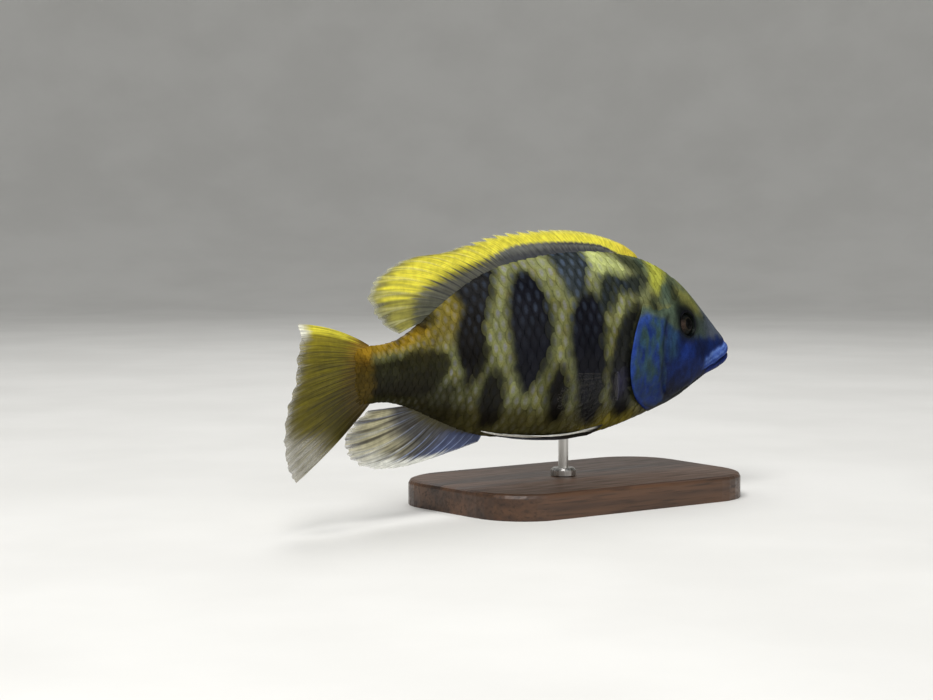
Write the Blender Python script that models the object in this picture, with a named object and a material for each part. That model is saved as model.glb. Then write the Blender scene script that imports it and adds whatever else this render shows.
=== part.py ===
"""Life-size display model of a giraffe cichlid on a plain stand.

The fish is shaped straight, in millimetres: s runs back from the snout tip, y to its left and z up
from the snout's level. Each mesh is then curved as the fish swims, turned into metres and stood over
the base. +X is the way the fish heads, and the floor is at z = 0.
"""

import math

import bmesh
import bpy
import numpy as np

# Driving sizes, in millimetres
STANDARD_LENGTH = 182.0
AXIS_HEIGHT = 56.0
NODE_GAP = 0.3

# Lines of the body in side view, as shares of the standard length: (along, height)
BACK = (
    (0.0, 0.030), (0.033, 0.050), (0.060, 0.077), (0.088, 0.105), (0.115, 0.132), (0.143, 0.157),
    (0.176, 0.180), (0.214, 0.201), (0.255, 0.216), (0.313, 0.2275), (0.368, 0.2340), (0.423, 0.2355),
    (0.478, 0.2335), (0.533, 0.2285), (0.588, 0.2205), (0.643, 0.2090), (0.692, 0.1925), (0.747, 0.1660),
    (0.790, 0.1400), (0.830, 0.1130), (0.868, 0.0870), (0.912, 0.0650), (0.951, 0.0560), (1.02, 0.0560),
)
BELLY = (
    (0.0, -0.026), (0.038, -0.040), (0.077, -0.0550), (0.104, -0.0690), (0.137, -0.0870), (0.181, -0.1060),
    (0.236, -0.1250), (0.297, -0.1420), (0.346, -0.1540), (0.396, -0.1635), (0.451, -0.1670),
    (0.533, -0.1650), (0.615, -0.1600), (0.687, -0.1520), (0.764, -0.1320), (0.830, -0.1060),
    (0.885, -0.0820), (0.923, -0.0700), (0.967, -0.0640), (1.02, -0.0660),
)
HALF_WIDTH = (
    (0.0, 0.021), (0.02, 0.0285), (0.05, 0.038), (0.10, 0.051), (0.16, 0.065), (0.24, 0.080), (0.33, 0.090),
    (0.42, 0.092), (0.52, 0.087), (0.62, 0.074), (0.72, 0.056), (0.82, 0.038), (0.90, 0.0265),
    (0.96, 0.0195), (1.02, 0.0130),
)
WIDEST_HEIGHT = ((0.0, 0.0), (0.10, -0.004), (0.25, 0.004), (0.45, 0.020), (0.75, 0.012), (1.02, -0.004))
BACK_ROUNDNESS = ((0.0, 2.1), (0.16, 2.0), (0.30, 1.75), (0.70, 1.65), (1.02, 1.9))
BELLY_ROUNDNESS = ((0.0, 2.0), (0.08, 1.7), (0.20, 1.75), (0.45, 1.95), (0.75, 1.8), (1.02, 1.9))
SNOUT_ROUNDING = 0.034

# Gill opening: how far back the head reaches at each angle round from the back, in degrees
GILL_EDGE = (
    (0, 0.250), (25, 0.258), (45, 0.279), (60, 0.312), (76, 0.342), (92, 0.355), (114, 0.347),
    (129, 0.323), (144, 0.287), (160, 0.252), (180, 0.231),
)
GILL_STATION = 0.355
GILL_WARP_FROM = 0.12
GILL_WARP_TO = 0.52
GILL_OPENS, GILL_CLOSES = (52, 66), (140, 162)
GILL_FLAP_RISE, GILL_FLAP_WIDTH = 0.6, 5.0
GILL_SLOT_DEPTH, GILL_SLOT_WIDTH = 0.9, 3.5

# Mouth, cheek, eye and nostril in side view, in shares of the standard length
MOUTH_LINE = ((-0.03, 0.009), (0.0, 0.002), (0.035, -0.011), (0.070, -0.025), (0.096, -0.037))
JAW_HINGE_LINE = ((0.112, -0.056), (0.132, -0.074), (0.140, -0.110))
JAW_LOW = -0.150
LIP_WIDTHS = (3.4, 2.4)
LIP_RISE = 1.0
LIP_AT_CORNER = 0.55
LIP_FADES = (0.066, 0.102)
LIP_CREASE, LIP_CREASE_WIDTH, LIP_CREASE_OFFSET = 0.4, 1.0, 0.4
MOUTH_GROOVE, MOUTH_GROOVE_WIDTH = 0.5, 0.8
MOUTH_RINGS_FADE = (0.10, 0.145)
CHEEK_LINE = (
    (0.232, 0.088), (0.247, 0.052), (0.255, 0.0), (0.250, -0.052), (0.228, -0.084), (0.185, -0.092),
    (0.145, -0.074),
)
CHEEK_GROOVE, CHEEK_GROOVE_WIDTH = 0.55, 0.9
GILL_COVER_TOP = ((0.232, 0.088), (0.262, 0.107), (0.300, 0.111), (0.374, 0.101))
GILL_COVER_LOW = ((0.228, -0.084), (0.252, -0.107), (0.290, -0.119), (0.378, -0.112))
GILL_COVER_INNER = 8.0
EYE_PLACE = (0.1685, 0.0710)
EYE_RADIUS = 5.0
EYE_DEPTH = 3.8
EYE_BULGE = 1.2
ORBIT_RISE, ORBIT_WIDTH, ORBIT_OFFSET = 0.35, 2.2, 0.6
ORBIT_FROM_MIDDLE = 4.0
NOSTRIL_PLACE = (0.098, 0.080)
NOSTRIL_RADIUS = 0.85
NOSTRIL_DEPTH = 1.1

# Cuts across the body, along the standard length
TORSO_SPLIT = 0.64
TAIL_SPLIT = 0.88
TAIL_END = 1.012

# Rings of points along the body
SNOUT_TIP = (0.0, 0.0, 0.4)
SNOUT_STATIONS = (0.0012, 0.0045, 0.0085, 0.013)
MOUTH_STATIONS = (0.0185, 0.108, 18)
CHEEK_STATIONS = (0.117, GILL_STATION, 19)
SLOT_STATIONS = (0.0, 0.007, 0.016)
TORSO_STATIONS = (0.384, TORSO_SPLIT, 12)
REAR_RINGS, STOCK_RINGS = 12, 8
CUTTER_HALF = 30.0
EYE_POINTS, NOSTRIL_POINTS = (8, 22), (6, 10)

# The curve of the swimming body, bending to its right behind the middle
BEND_START = 0.55
BEND_AT_TAIL = math.radians(13.0)
BEND_POWER = 1.5

AROUND = 44

# Dorsal fin
DORSAL_SPINES, DORSAL_SOFT_RAYS = 16, 11
DORSAL_BASE = (0.262, 0.845)
DORSAL_SPINY_BASE_END = 0.625
DORSAL_MARGIN = (
    (0.276, 0.2310), (0.300, 0.2450), (0.357, 0.2640), (0.440, 0.2790), (0.522, 0.2830), (0.604, 0.2800),
    (0.681, 0.2700), (0.752, 0.2500), (0.813, 0.2350), (0.879, 0.2300), (0.934, 0.2155), (0.978, 0.1925),
    (1.010, 0.1690), (1.012, 0.1450), (0.990, 0.1130), (0.958, 0.0860), (0.926, 0.0735),
)
DORSAL_LAST_SPINE_AT = 0.51
DORSAL_BOWS = (0.06, 0.09, 0.0)
DORSAL_SWAY = -0.012

# Anal fin
ANAL_SPINES, ANAL_SOFT_RAYS = 3, 9
ANAL_BASE = (0.690, 0.890)
ANAL_MARGIN = (
    (0.703, -0.1640), (0.764, -0.1770), (0.830, -0.1890), (0.896, -0.1985), (0.967, -0.1985),
    (1.035, -0.1860), (1.078, -0.1620), (1.096, -0.1320), (1.075, -0.1040), (1.024, -0.0740),
)
ANAL_BOWS = (-0.05, -0.10, -0.01)
ANAL_CURL = -0.022

# Caudal fin
CAUDAL_RAYS = 16
CAUDAL_ROOT = (0.0545, -0.0652)
CAUDAL_MARGIN = (
    (1.180, 0.1045), (1.184, 0.0780), (1.212, 0.0400), (1.230, -0.0050), (1.264, -0.0560), (1.270, -0.1050),
    (1.250, -0.1580), (1.192, -0.2060),
)
CAUDAL_EDGE_BOWS = (0.05, 0.0, -0.02)
CAUDAL_FOLD, CAUDAL_FOLD_MIDDLE = 0.035, 0.35
CAUDAL_RIPPLE, CAUDAL_RIPPLE_STEP = 0.5, 1.9
CAUDAL_FOOT_INSET = 0.2

# Pectoral fins
PECTORAL_RAYS = 13
PECTORAL_BASE = ((0.388, -0.024), (0.378, -0.084))
PECTORAL_LENGTHS = ((0.0, 0.19), (0.22, 0.265), (0.45, 0.250), (0.75, 0.190), (1.0, 0.110))
PECTORAL_SPREAD = (math.radians(6.0), math.radians(-26.0))
PECTORAL_LIFT = ((0.0, math.radians(38.0)), (0.25, math.radians(20.9)), (1.0, math.radians(16.0)))
PECTORAL_FOOT_HALF = 1.1
PECTORAL_FOOT_GAP = 1.1 * NODE_GAP

# Pelvic fins
PELVIC_RAYS = 6
PELVIC_BASE = ((0.392, 0.042), (0.418, 0.016))
PELVIC_TIPS = (
    (0.600, 0.0420), (0.712, 0.0360), (0.672, 0.0300), (0.634, 0.0245), (0.592, 0.0190), (0.550, 0.0145),
)
PELVIC_FOOT_HALF = 0.8
PELVIC_DROP, PELVIC_DROP_FROM, PELVIC_INNER_DROP = 1.9, 0.7, 0.45

# Fin thickness, each measured from the middle of the membrane
SPINE_HALF = 0.55
RAY_HALF = 0.42
WEB_HALF = 0.26
TIP_HALF = 0.13
FIN_FOOT_HALF = 1.15
FIN_FOOT_SHARE = 0.16

# How far the web between two rays falls short of their tips, and how many rows of points run up a fin
DORSAL_NOTCHES = (0.16, 0.06)
ANAL_NOTCH, CAUDAL_NOTCH, PECTORAL_NOTCH, PELVIC_NOTCH = 0.07, 0.035, 0.04, 0.05
FIN_ROWS, CAUDAL_ROWS = 9, 10

# Stand
BASE_LENGTH, BASE_WIDTH, BASE_THICKNESS = 128.0, 78.0, 10.0
BASE_CORNER, BASE_BEVEL = 22.0, 1.6
BASE_CORNER_STEPS = 8
BASE_EASING = 0.3 * BASE_BEVEL
BASE_CENTRE = 0.43
ROD_STATION = 0.47
ROD_RADIUS = 2.0
ROD_SIDES = 24
COLLAR_RADIUS, COLLAR_HEIGHT, COLLAR_EDGE = 5.0, 3.0, 0.8
COLLAR_STRAIGHT = 0.7 * COLLAR_HEIGHT

MATERIALS = {
    "skin": ((0.30, 0.30, 0.06), 0.45, 0.0),
    "face": ((0.05, 0.10, 0.42), 0.40, 0.0),
    "yellow_fin": ((0.80, 0.66, 0.05), 0.45, 0.0),
    "pale_fin": ((0.55, 0.56, 0.55), 0.45, 0.0),
    "clear_fin": ((0.62, 0.60, 0.42), 0.40, 0.0),
    "eye": ((0.02, 0.02, 0.03), 0.10, 0.0),
    "stand_wood": ((0.16, 0.08, 0.04), 0.45, 0.0),
    "stand_metal": ((0.62, 0.60, 0.56), 0.28, 1.0),
}


def smooth(points, at):
    """Height at each place of the smooth curve through the points, which run forward in their first value."""
    xs, ys = np.array(points, float).T
    slopes = np.gradient(ys, xs)
    at = np.clip(np.asarray(at, float), xs[0], xs[-1])
    k = np.clip(np.searchsorted(xs, at, side="right") - 1, 0, len(xs) - 2)
    step = xs[k + 1] - xs[k]
    u = (at - xs[k]) / step
    lift = ys[k] * (1 + 2 * u) * (1 - u) ** 2 + ys[k + 1] * u * u * (3 - 2 * u)
    return lift + step * (slopes[k] * u * (1 - u) ** 2 + slopes[k + 1] * u * u * (u - 1))


def curve_at(points, share):
    """Places along the smooth plane curve through the points, at shares of its length."""
    points = np.array(points, float)
    run = np.concatenate([[0.0], np.cumsum(np.linalg.norm(np.diff(points, axis=0), axis=1))])
    run /= run[-1]
    return np.stack([smooth(np.column_stack([run, points[:, k]]), share) for k in (0, 1)], axis=-1)


def ease(value):
    """0 below 0, 1 above 1 and smooth between."""
    value = np.clip(value, 0.0, 1.0)
    return value * value * (3 - 2 * value)


def ramp(value, start, end):
    """0 up to the start, 1 from the end on and smooth between."""
    return ease((value - start) / (end - start))


def bump(distance, width):
    """1 in the middle, falling off evenly with the distance."""
    return np.exp(-((distance / width) ** 2))


def distance_to_line(points, along, height):
    """Distance in the side view from each place to the smooth line through the points."""
    line = curve_at(points, np.linspace(0, 1, 60))
    gaps = np.stack([np.asarray(along)[..., None] - line[:, 0], np.asarray(height)[..., None] - line[:, 1]])
    return np.sqrt((gaps**2).sum(0)).min(-1)


def body_section(along, angle):
    """(y, z) in millimetres of the plain body at a share of its length and an angle round from the back."""
    blunt = np.sqrt(1 - (1 - np.clip(along / SNOUT_ROUNDING, 0, 1)) ** 2)
    middle = smooth(WIDEST_HEIGHT, along)
    cosine, sine = np.cos(angle), np.sin(angle)
    upper = cosine >= 0
    reach = np.where(upper, smooth(BACK, along) - middle, middle - smooth(BELLY, along)) * blunt
    power = 2 / np.where(upper, smooth(BACK_ROUNDNESS, along), smooth(BELLY_ROUNDNESS, along))
    y = smooth(HALF_WIDTH, along) * blunt * np.sign(sine) * np.abs(sine) ** power
    z = middle + reach * np.sign(cosine) * np.abs(cosine) ** power
    return STANDARD_LENGTH * y, STANDARD_LENGTH * z


def height_on_body(along, y, back):
    """z in millimetres of the back or the belly, y millimetres from the middle."""
    middle = smooth(WIDEST_HEIGHT, along) * STANDARD_LENGTH
    edge = smooth(BACK if back else BELLY, along) * STANDARD_LENGTH
    power = smooth(BACK_ROUNDNESS if back else BELLY_ROUNDNESS, along)
    share = np.clip(np.abs(y) / (smooth(HALF_WIDTH, along) * STANDARD_LENGTH), 0, 0.999)
    return middle + (edge - middle) * (1 - share**power) ** (1 / power)


def side_of_body(along, z):
    """Distance in millimetres from the middle plane to the flank, at a height in millimetres."""
    middle = smooth(WIDEST_HEIGHT, along) * STANDARD_LENGTH
    upper = z >= middle
    edge = np.where(upper, smooth(BACK, along), smooth(BELLY, along)) * STANDARD_LENGTH
    power = np.where(upper, smooth(BACK_ROUNDNESS, along), smooth(BELLY_ROUNDNESS, along))
    share = np.clip((z - middle) / (edge - middle), 0, 0.999)
    return smooth(HALF_WIDTH, along) * STANDARD_LENGTH * (1 - share**power) ** (1 / power)


def turned_from_back(angle):
    """Degrees round from the middle of the back, the same on both sides."""
    return np.degrees(np.abs((angle + math.pi) % (2 * math.pi) - math.pi))


def gill_window(angle):
    """1 where the gill opening is, 0 on the nape and under the throat, for an angle round from the back."""
    turned = turned_from_back(angle)
    return ramp(turned, *GILL_OPENS) * (1 - ramp(turned, *GILL_CLOSES))


def relief(along, y, z):
    """How far the lips, cheek grooves and eye rims stand out of the plain body, in millimetres."""
    height = z / STANDARD_LENGTH
    forward = 1 - ramp(along, *LIP_FADES)
    from_mouth = distance_to_line(MOUTH_LINE[1:], along, height) * STANDARD_LENGTH
    width = np.where(height > smooth(MOUTH_LINE, along), *LIP_WIDTHS)
    width = width * (LIP_AT_CORNER + (1 - LIP_AT_CORNER) * forward)
    lips = LIP_RISE * np.sin(math.pi * np.clip(from_mouth / width, 0, 1))
    crease = LIP_CREASE * bump(from_mouth - width - LIP_CREASE_OFFSET, LIP_CREASE_WIDTH)
    groove = MOUTH_GROOVE * bump(from_mouth, MOUTH_GROOVE_WIDTH)
    from_cheek = distance_to_line(CHEEK_LINE, along, height) * STANDARD_LENGTH
    cheek = CHEEK_GROOVE * bump(from_cheek, CHEEK_GROOVE_WIDTH)
    eye = np.hypot(along - EYE_PLACE[0], height - EYE_PLACE[1]) * STANDARD_LENGTH
    rim = ORBIT_RISE * bump(eye - EYE_RADIUS - ORBIT_OFFSET, ORBIT_WIDTH)
    rim = rim * ease(np.abs(y) / ORBIT_FROM_MIDDLE)
    return (lips - crease - groove) * forward - cheek + rim


def gill_step(along, angle, behind):
    """How far the gill cover's edge stands out to the side, or the skin behind it lies in, in millimetres."""
    from_edge = (along - smooth(GILL_EDGE, turned_from_back(angle))) * STANDARD_LENGTH
    if behind:
        return -GILL_SLOT_DEPTH * bump(from_edge, GILL_SLOT_WIDTH) * gill_window(angle)
    return GILL_FLAP_RISE * bump(from_edge, GILL_FLAP_WIDTH) * gill_window(angle)


def warped(station, angle):
    """Share along the body of a ring's points, which near the gill opening follow its edge."""
    shift = smooth(GILL_EDGE, turned_from_back(angle)) - GILL_STATION
    before = ramp(station, GILL_WARP_FROM, GILL_STATION)
    after = 1 - ramp(station, GILL_STATION, GILL_WARP_TO)
    return station + shift * np.where(station <= GILL_STATION, before, after)


def along_mouth(station, angle):
    """The angle round the body, drawn out near the snout so that lines of points run along the mouth."""
    blunt = np.sqrt(1 - (1 - np.clip(station / SNOUT_ROUNDING, 0, 1)) ** 2)
    rise = smooth(MOUTH_LINE, station) - smooth(WIDEST_HEIGHT, station)
    edge = np.where(rise > 0, smooth(BACK, station), smooth(BELLY, station)) - smooth(WIDEST_HEIGHT, station)
    power = np.where(rise > 0, smooth(BACK_ROUNDNESS, station), smooth(BELLY_ROUNDNESS, station))
    mouth = np.arccos(np.sign(rise) * np.clip(rise / (edge * blunt), 0, 0.9) ** (power / 2))
    mouth = math.pi / 2 + (mouth - math.pi / 2) * (1 - ramp(station, *MOUTH_RINGS_FADE))
    half = np.where(angle > math.pi, 2 * math.pi - angle, angle)
    share = half / (math.pi / 2)
    half = np.where(share < 1, mouth * share, math.pi - (math.pi - mouth) * (2 - share))
    return np.where(angle > math.pi, 2 * math.pi - half, half)


def body_grid(stations, behind_gill):
    """Points (s, y, z) in millimetres of the straight body, one ring for each station."""
    angles = np.linspace(0, 2 * math.pi, AROUND, endpoint=False)
    station, angle = np.meshgrid(stations, angles, indexing="ij")
    angle = along_mouth(station, angle)

    def plain(station, angle):
        along = warped(station, angle)
        y, z = body_section(np.maximum(along, 1e-4), angle)
        return np.stack([along * STANDARD_LENGTH, y, z], axis=-1)

    step = 1e-4
    points = plain(station, angle)
    lengthways = plain(station + step, angle) - points
    roundways = plain(station, angle + step) - points
    normal = np.cross(lengthways, roundways)
    normal /= np.linalg.norm(normal, axis=-1, keepdims=True) + 1e-12
    outwards = points[..., 1:] - points[..., 1:].mean(1, keepdims=True)
    normal *= np.sign((normal[..., 1:] * outwards).sum(-1))[..., None]
    along = points[..., 0] / STANDARD_LENGTH
    points = points + normal * relief(along, points[..., 1], points[..., 2])[..., None]
    points[..., 1] += np.sign(points[..., 1]) * gill_step(along, angle, behind_gill)
    points[:, [0, AROUND // 2], 1] = 0.0
    return points


def bend_angle(along):
    return BEND_AT_TAIL * np.clip((along - BEND_START) / (1 - BEND_START), 0, None) ** BEND_POWER


def curved(points):
    """The straight fish's points curved as it swims, with the middle of its length at the origin."""
    points = np.asarray(points, float)
    table = np.linspace(-0.1, 1.4, 1501)
    angle = bend_angle(table)
    step = (table[1] - table[0]) * STANDARD_LENGTH
    half = (angle[1:] + angle[:-1]) / 2
    xs = np.concatenate([[0.0], np.cumsum(-np.cos(half) * step)])
    ys = np.concatenate([[0.0], np.cumsum(-np.sin(half) * step)])
    along = points[..., 0] / STANDARD_LENGTH
    turn = bend_angle(along)
    x = np.interp(along, table, xs) - np.interp(0.5, table, xs) - np.sin(turn) * points[..., 1]
    y = np.interp(along, table, ys) - np.interp(0.0, table, ys) + np.cos(turn) * points[..., 1]
    return np.stack([x, y, points[..., 2]], axis=-1) / 1000


def add_mesh(name, points, faces, material):
    """A mesh object from the straight fish's points, with its faces turned outwards."""
    mesh = bpy.data.meshes.new(name)
    mesh.from_pydata(curved(points).tolist(), [], faces)
    obj = bpy.data.objects.new(name, mesh)
    bpy.context.scene.collection.objects.link(obj)
    tidy = bmesh.new()
    tidy.from_mesh(mesh)
    bmesh.ops.recalc_face_normals(tidy, faces=tidy.faces)
    tidy.to_mesh(mesh)
    tidy.free()
    mesh.shade_smooth()
    mesh.set_sharp_from_angle(angle=math.radians(40))
    mesh.materials.append(material)
    return obj


def ladder(ring):
    """Faces that close a ring of even length, rung by rung between its left and right points."""
    count = len(ring)
    faces = [(ring[0], ring[1], ring[-1])]
    for k in range(1, count // 2 - 1):
        faces.append((ring[k], ring[k + 1], ring[count - k - 1], ring[count - k]))
    faces.append((ring[count // 2 - 1], ring[count // 2], ring[count // 2 + 1]))
    return faces


def loft(name, grid, material, point_front=None):
    """A closed tube through the grid's rings, with flat ends or a pointed front."""
    rings, around = grid.shape[:2]
    points = grid.reshape(-1, 3).tolist()
    index = np.arange(rings * around).reshape(rings, around)
    after = np.roll(index, -1, axis=1)
    faces = np.stack([index[:-1], after[:-1], after[1:], index[1:]], axis=-1).reshape(-1, 4).tolist()
    faces += ladder(index[-1].tolist())
    if point_front is None:
        faces += ladder(index[0].tolist())
    else:
        points.append(list(point_front))
        tip = len(points) - 1
        faces += [(one, two, tip) for one, two in zip(index[0].tolist(), after[0].tolist())]
    return add_mesh(name, points, faces, material)


def prism(name, outline, y_from, y_to):
    """A cutter: an outline in the side view, in shares of the standard length, run across the fish."""
    count = len(outline)
    sides = [
        (s * STANDARD_LENGTH, y, z * STANDARD_LENGTH) for y in (y_from, y_to) for s, z in outline
    ]
    faces = [tuple(range(count)), tuple(range(2 * count - 1, count - 1, -1))]
    faces += [(k, (k + 1) % count, count + (k + 1) % count, count + k) for k in range(count)]
    obj = add_mesh(name, sides, faces, None)
    obj.hide_render = True
    obj.display_type = "WIRE"
    return obj


def boolean(obj, cutter, operation):
    """Applies one Boolean to the object's mesh at once."""
    modifier = obj.modifiers.new(operation.lower(), "BOOLEAN")
    modifier.operation = operation
    modifier.object = cutter
    graph = bpy.context.evaluated_depsgraph_get()
    cut = bpy.data.meshes.new_from_object(obj.evaluated_get(graph))
    obj.modifiers.clear()
    old, obj.data = obj.data, cut
    cut.name = obj.name
    bpy.data.meshes.remove(old)
    return obj


def copy_of(obj, name):
    twin = obj.copy()
    twin.data = obj.data.copy()
    twin.name = name
    twin.data.name = name
    bpy.context.scene.collection.objects.link(twin)
    return twin


def remove(*objects):
    for obj in objects:
        bpy.data.objects.remove(obj, do_unlink=True)


def grown(outline, by):
    """The closed outline with each side moved out by a distance in millimetres."""
    points = np.array(outline, float) * STANDARD_LENGTH
    ahead, behind = np.roll(points, -1, axis=0) - points, points - np.roll(points, 1, axis=0)
    area = (points[:, 0] * np.roll(points[:, 1], -1) - np.roll(points[:, 0], -1) * points[:, 1]).sum()
    out = []
    for point, a, b in zip(points, ahead, behind):
        na = np.array([a[1], -a[0]]) / np.hypot(*a) * np.sign(area)
        nb = np.array([b[1], -b[0]]) / np.hypot(*b) * np.sign(area)
        corner = (na + nb) / (1 + na @ nb)
        out.append(tuple((point + corner * by) / STANDARD_LENGTH))
    return out


def surface_frame(along, z_share, side):
    """A place on the flank, with the outward normal there, both in the straight fish's millimetres."""
    z = z_share * STANDARD_LENGTH
    step = 0.004
    y = float(side_of_body(along, z))
    slope_s = (float(side_of_body(along + step, z)) - y) / (step * STANDARD_LENGTH)
    slope_z = (float(side_of_body(along, z + step * STANDARD_LENGTH)) - y) / (step * STANDARD_LENGTH)
    normal = np.array([-slope_s, 1.0, -slope_z])
    normal /= np.linalg.norm(normal)
    normal[1] *= side
    return np.array([along * STANDARD_LENGTH, side * y, z]), normal


def lens(name, place, normal, radius, depth, material, counts):
    """A flattened ball with its short axis along the normal, of so many rings and points in each."""
    rings, around = counts
    side = np.cross(normal, [0.0, 0.0, 1.0])
    side /= np.linalg.norm(side)
    up = np.cross(side, normal)
    points = [place + normal * depth]
    for i in range(1, rings):
        polar = math.pi * i / rings
        for j in range(around):
            turn = 2 * math.pi * j / around
            out = side * math.cos(turn) + up * math.sin(turn)
            points.append(place + normal * depth * math.cos(polar) + out * radius * math.sin(polar))
    points.append(place - normal * depth)
    last = len(points) - 1
    faces = [(0, 1 + j, 1 + (j + 1) % around) for j in range(around)]
    for i in range(rings - 2):
        a, b = 1 + i * around, 1 + (i + 1) * around
        faces += [(a + j, b + j, b + (j + 1) % around, a + (j + 1) % around) for j in range(around)]
    a = 1 + (rings - 2) * around
    faces += [(a + j, last, a + (j + 1) % around) for j in range(around)]
    return add_mesh(name, points, faces, material)


def jaw_outline():
    """The lower jaw's outline: back along the mouth, down behind the hinge and forward below the chin."""
    line = curve_at(MOUTH_LINE + JAW_HINGE_LINE, np.linspace(0, 1, 14))
    return [tuple(point) for point in line] + [(JAW_HINGE_LINE[-1][0], JAW_LOW), (MOUTH_LINE[0][0], JAW_LOW)]


def gill_cover_outline():
    """The gill cover's outline: down its front edge, back along its foot and forward along its top."""
    share = np.linspace(0, 1, 7)
    front = curve_at(CHEEK_LINE[:5], np.linspace(0, 1, 13))
    low = curve_at(GILL_COVER_LOW, share)[1:]
    top = curve_at(GILL_COVER_TOP, share)[:0:-1]
    return [tuple(point) for point in np.vstack([front, low, top])]


def make_head(materials):
    """The head with its mouth, gill covers, nostrils and eyes parted from one another."""
    stations = np.concatenate([SNOUT_STATIONS, np.linspace(*MOUTH_STATIONS), np.linspace(*CHEEK_STATIONS)])
    head = loft("head", body_grid(stations, False), materials["face"], point_front=SNOUT_TIP)
    part_jaw(head)
    for side, name in ((1, "left"), (-1, "right")):
        part_gill_cover(head, "gill_cover_" + name, side)
    for side, name in ((1, "left"), (-1, "right")):
        set_eye(head, name, side, materials["eye"])
        place, normal = surface_frame(*NOSTRIL_PLACE, side)
        pit = lens("pit_" + name, place, normal, NOSTRIL_RADIUS, NOSTRIL_DEPTH, None, NOSTRIL_POINTS)
        boolean(head, pit, "DIFFERENCE")
        remove(pit)


def part_jaw(head):
    """Parts the lower jaw from the head."""
    room = prism("jaw_room", jaw_outline(), -CUTTER_HALF, CUTTER_HALF)
    cut = prism("jaw_cut", grown(jaw_outline(), NODE_GAP), -CUTTER_HALF, CUTTER_HALF)
    boolean(copy_of(head, "lower_jaw"), room, "INTERSECT")
    boolean(head, cut, "DIFFERENCE")
    remove(room, cut)


def part_gill_cover(head, name, side):
    """Parts one gill cover from the head."""
    inner = side * GILL_COVER_INNER
    outer = side * CUTTER_HALF
    room = prism("room_" + name, gill_cover_outline(), inner + side * NODE_GAP, outer)
    cut = prism("cut_" + name, grown(gill_cover_outline(), NODE_GAP), inner, outer)
    boolean(copy_of(head, name), room, "INTERSECT")
    boolean(head, cut, "DIFFERENCE")
    remove(room, cut)


def set_eye(head, name, side, material):
    """An eye in its socket in the head."""
    place, normal = surface_frame(*EYE_PLACE, side)
    centre = place + normal * (EYE_BULGE - EYE_DEPTH)
    radius, depth = EYE_RADIUS + NODE_GAP, EYE_DEPTH + NODE_GAP
    room = lens("socket_" + name, centre, normal, radius, depth, None, EYE_POINTS)
    boolean(head, room, "DIFFERENCE")
    remove(room)
    lens("eye_" + name, centre, normal, EYE_RADIUS, EYE_DEPTH, material, EYE_POINTS)


def make_body(materials):
    """The torso and the tail behind the gill opening."""
    share = NODE_GAP / STANDARD_LENGTH
    front = np.concatenate([GILL_STATION + share + np.array(SLOT_STATIONS), np.linspace(*TORSO_STATIONS)])
    loft("torso_front", body_grid(front, True), materials["skin"])
    rear = np.linspace(TORSO_SPLIT + share, TAIL_SPLIT, REAR_RINGS)
    loft("torso_rear", body_grid(rear, True), materials["skin"])
    tail = np.linspace(TAIL_SPLIT + share, TAIL_END, STOCK_RINGS)
    loft("tail_stock", body_grid(tail, True), materials["skin"])


def ray_shape(root, tip, bow, rows):
    """Points along a ray from root to tip, bowed to one side by a share of its length."""
    share = np.array(rows)[:, None]
    along = np.array(tip) - np.array(root)
    across = np.array([-along[1], along[0]])
    return np.array(root) + along * share + across * bow * 4 * share * (1 - share)


def fin_rows(count):
    """Shares of a ray's length at which the fin has its rows of points."""
    even = np.linspace(0, 1, count)
    return np.concatenate([[0.0, 0.07], even[1:-1] * 0.98 + 0.02, [1.0]])


def fin_mesh(name, middles, outs, halves, foot, material):
    """A fin from its middle surface: columns of points, the way out of each face and the half thickness.

    The foot gives the first row of each face and, between them, the line that follows the body.
    """
    columns, rows = middles.shape[:2]
    left, right = middles + outs * halves[..., None], middles - outs * halves[..., None]
    left[:, 0], keel, right[:, 0] = foot if foot is not None else (left[:, 0], middles[:, 0], right[:, 0])
    points = np.concatenate([left.reshape(-1, 3), right.reshape(-1, 3), keel])
    a = np.arange(columns * rows).reshape(columns, rows)
    b = a + columns * rows
    k = np.arange(columns) + 2 * columns * rows
    faces = []
    for c in range(columns - 1):
        for r in range(rows - 1):
            corners = ((c, r), (c + 1, r), (c + 1, r + 1), (c, r + 1))
            for face, turn in ((a, 1), (b, -1)):
                p, q, u, v = (face[corner] for corner in corners)
                faces += [(p, q, u)[::turn], (p, u, v)[::turn]]
        faces += [(a[c, 0], k[c], k[c + 1]), (a[c, 0], k[c + 1], a[c + 1, 0])]
        faces += [(b[c, 0], k[c + 1], k[c]), (b[c, 0], b[c + 1, 0], k[c + 1])]
    for c, turn in ((0, 1), (-1, -1)):
        ends = [(k[c], a[c, 0], a[c, 1]), (k[c], a[c, 1], b[c, 1]), (k[c], b[c, 1], b[c, 0])]
        faces += [end[::turn] for end in ends]
    rim = [(0, r) for r in range(1, rows)] + [(c, rows - 1) for c in range(1, columns)]
    rim += [(columns - 1, r) for r in range(rows - 2, 0, -1)]
    for here, there in zip(rim, rim[1:]):
        p, q, u, v = a[here], a[there], b[there], b[here]
        faces += [(p, q, u), (p, u, v)]
    return add_mesh(name, points.tolist(), [tuple(int(n) for n in face) for face in faces], material)


def webbed(rays, rows, notch):
    """Columns for the rays and for the web between each two, which reaches less far by the notch."""
    columns = []
    for k, ray in enumerate(rays):
        columns.append(ray)
        if k + 1 < len(rays):
            shorter = np.array(rows) * (1 - notch[k] * np.array(rows) ** 6)
            both = [np.stack([np.interp(shorter, rows, one[:, d]) for d in range(one.shape[1])], -1)
                    for one in (ray, rays[k + 1])]
            columns.append((both[0] + both[1]) / 2)
    return np.array(columns)


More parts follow.
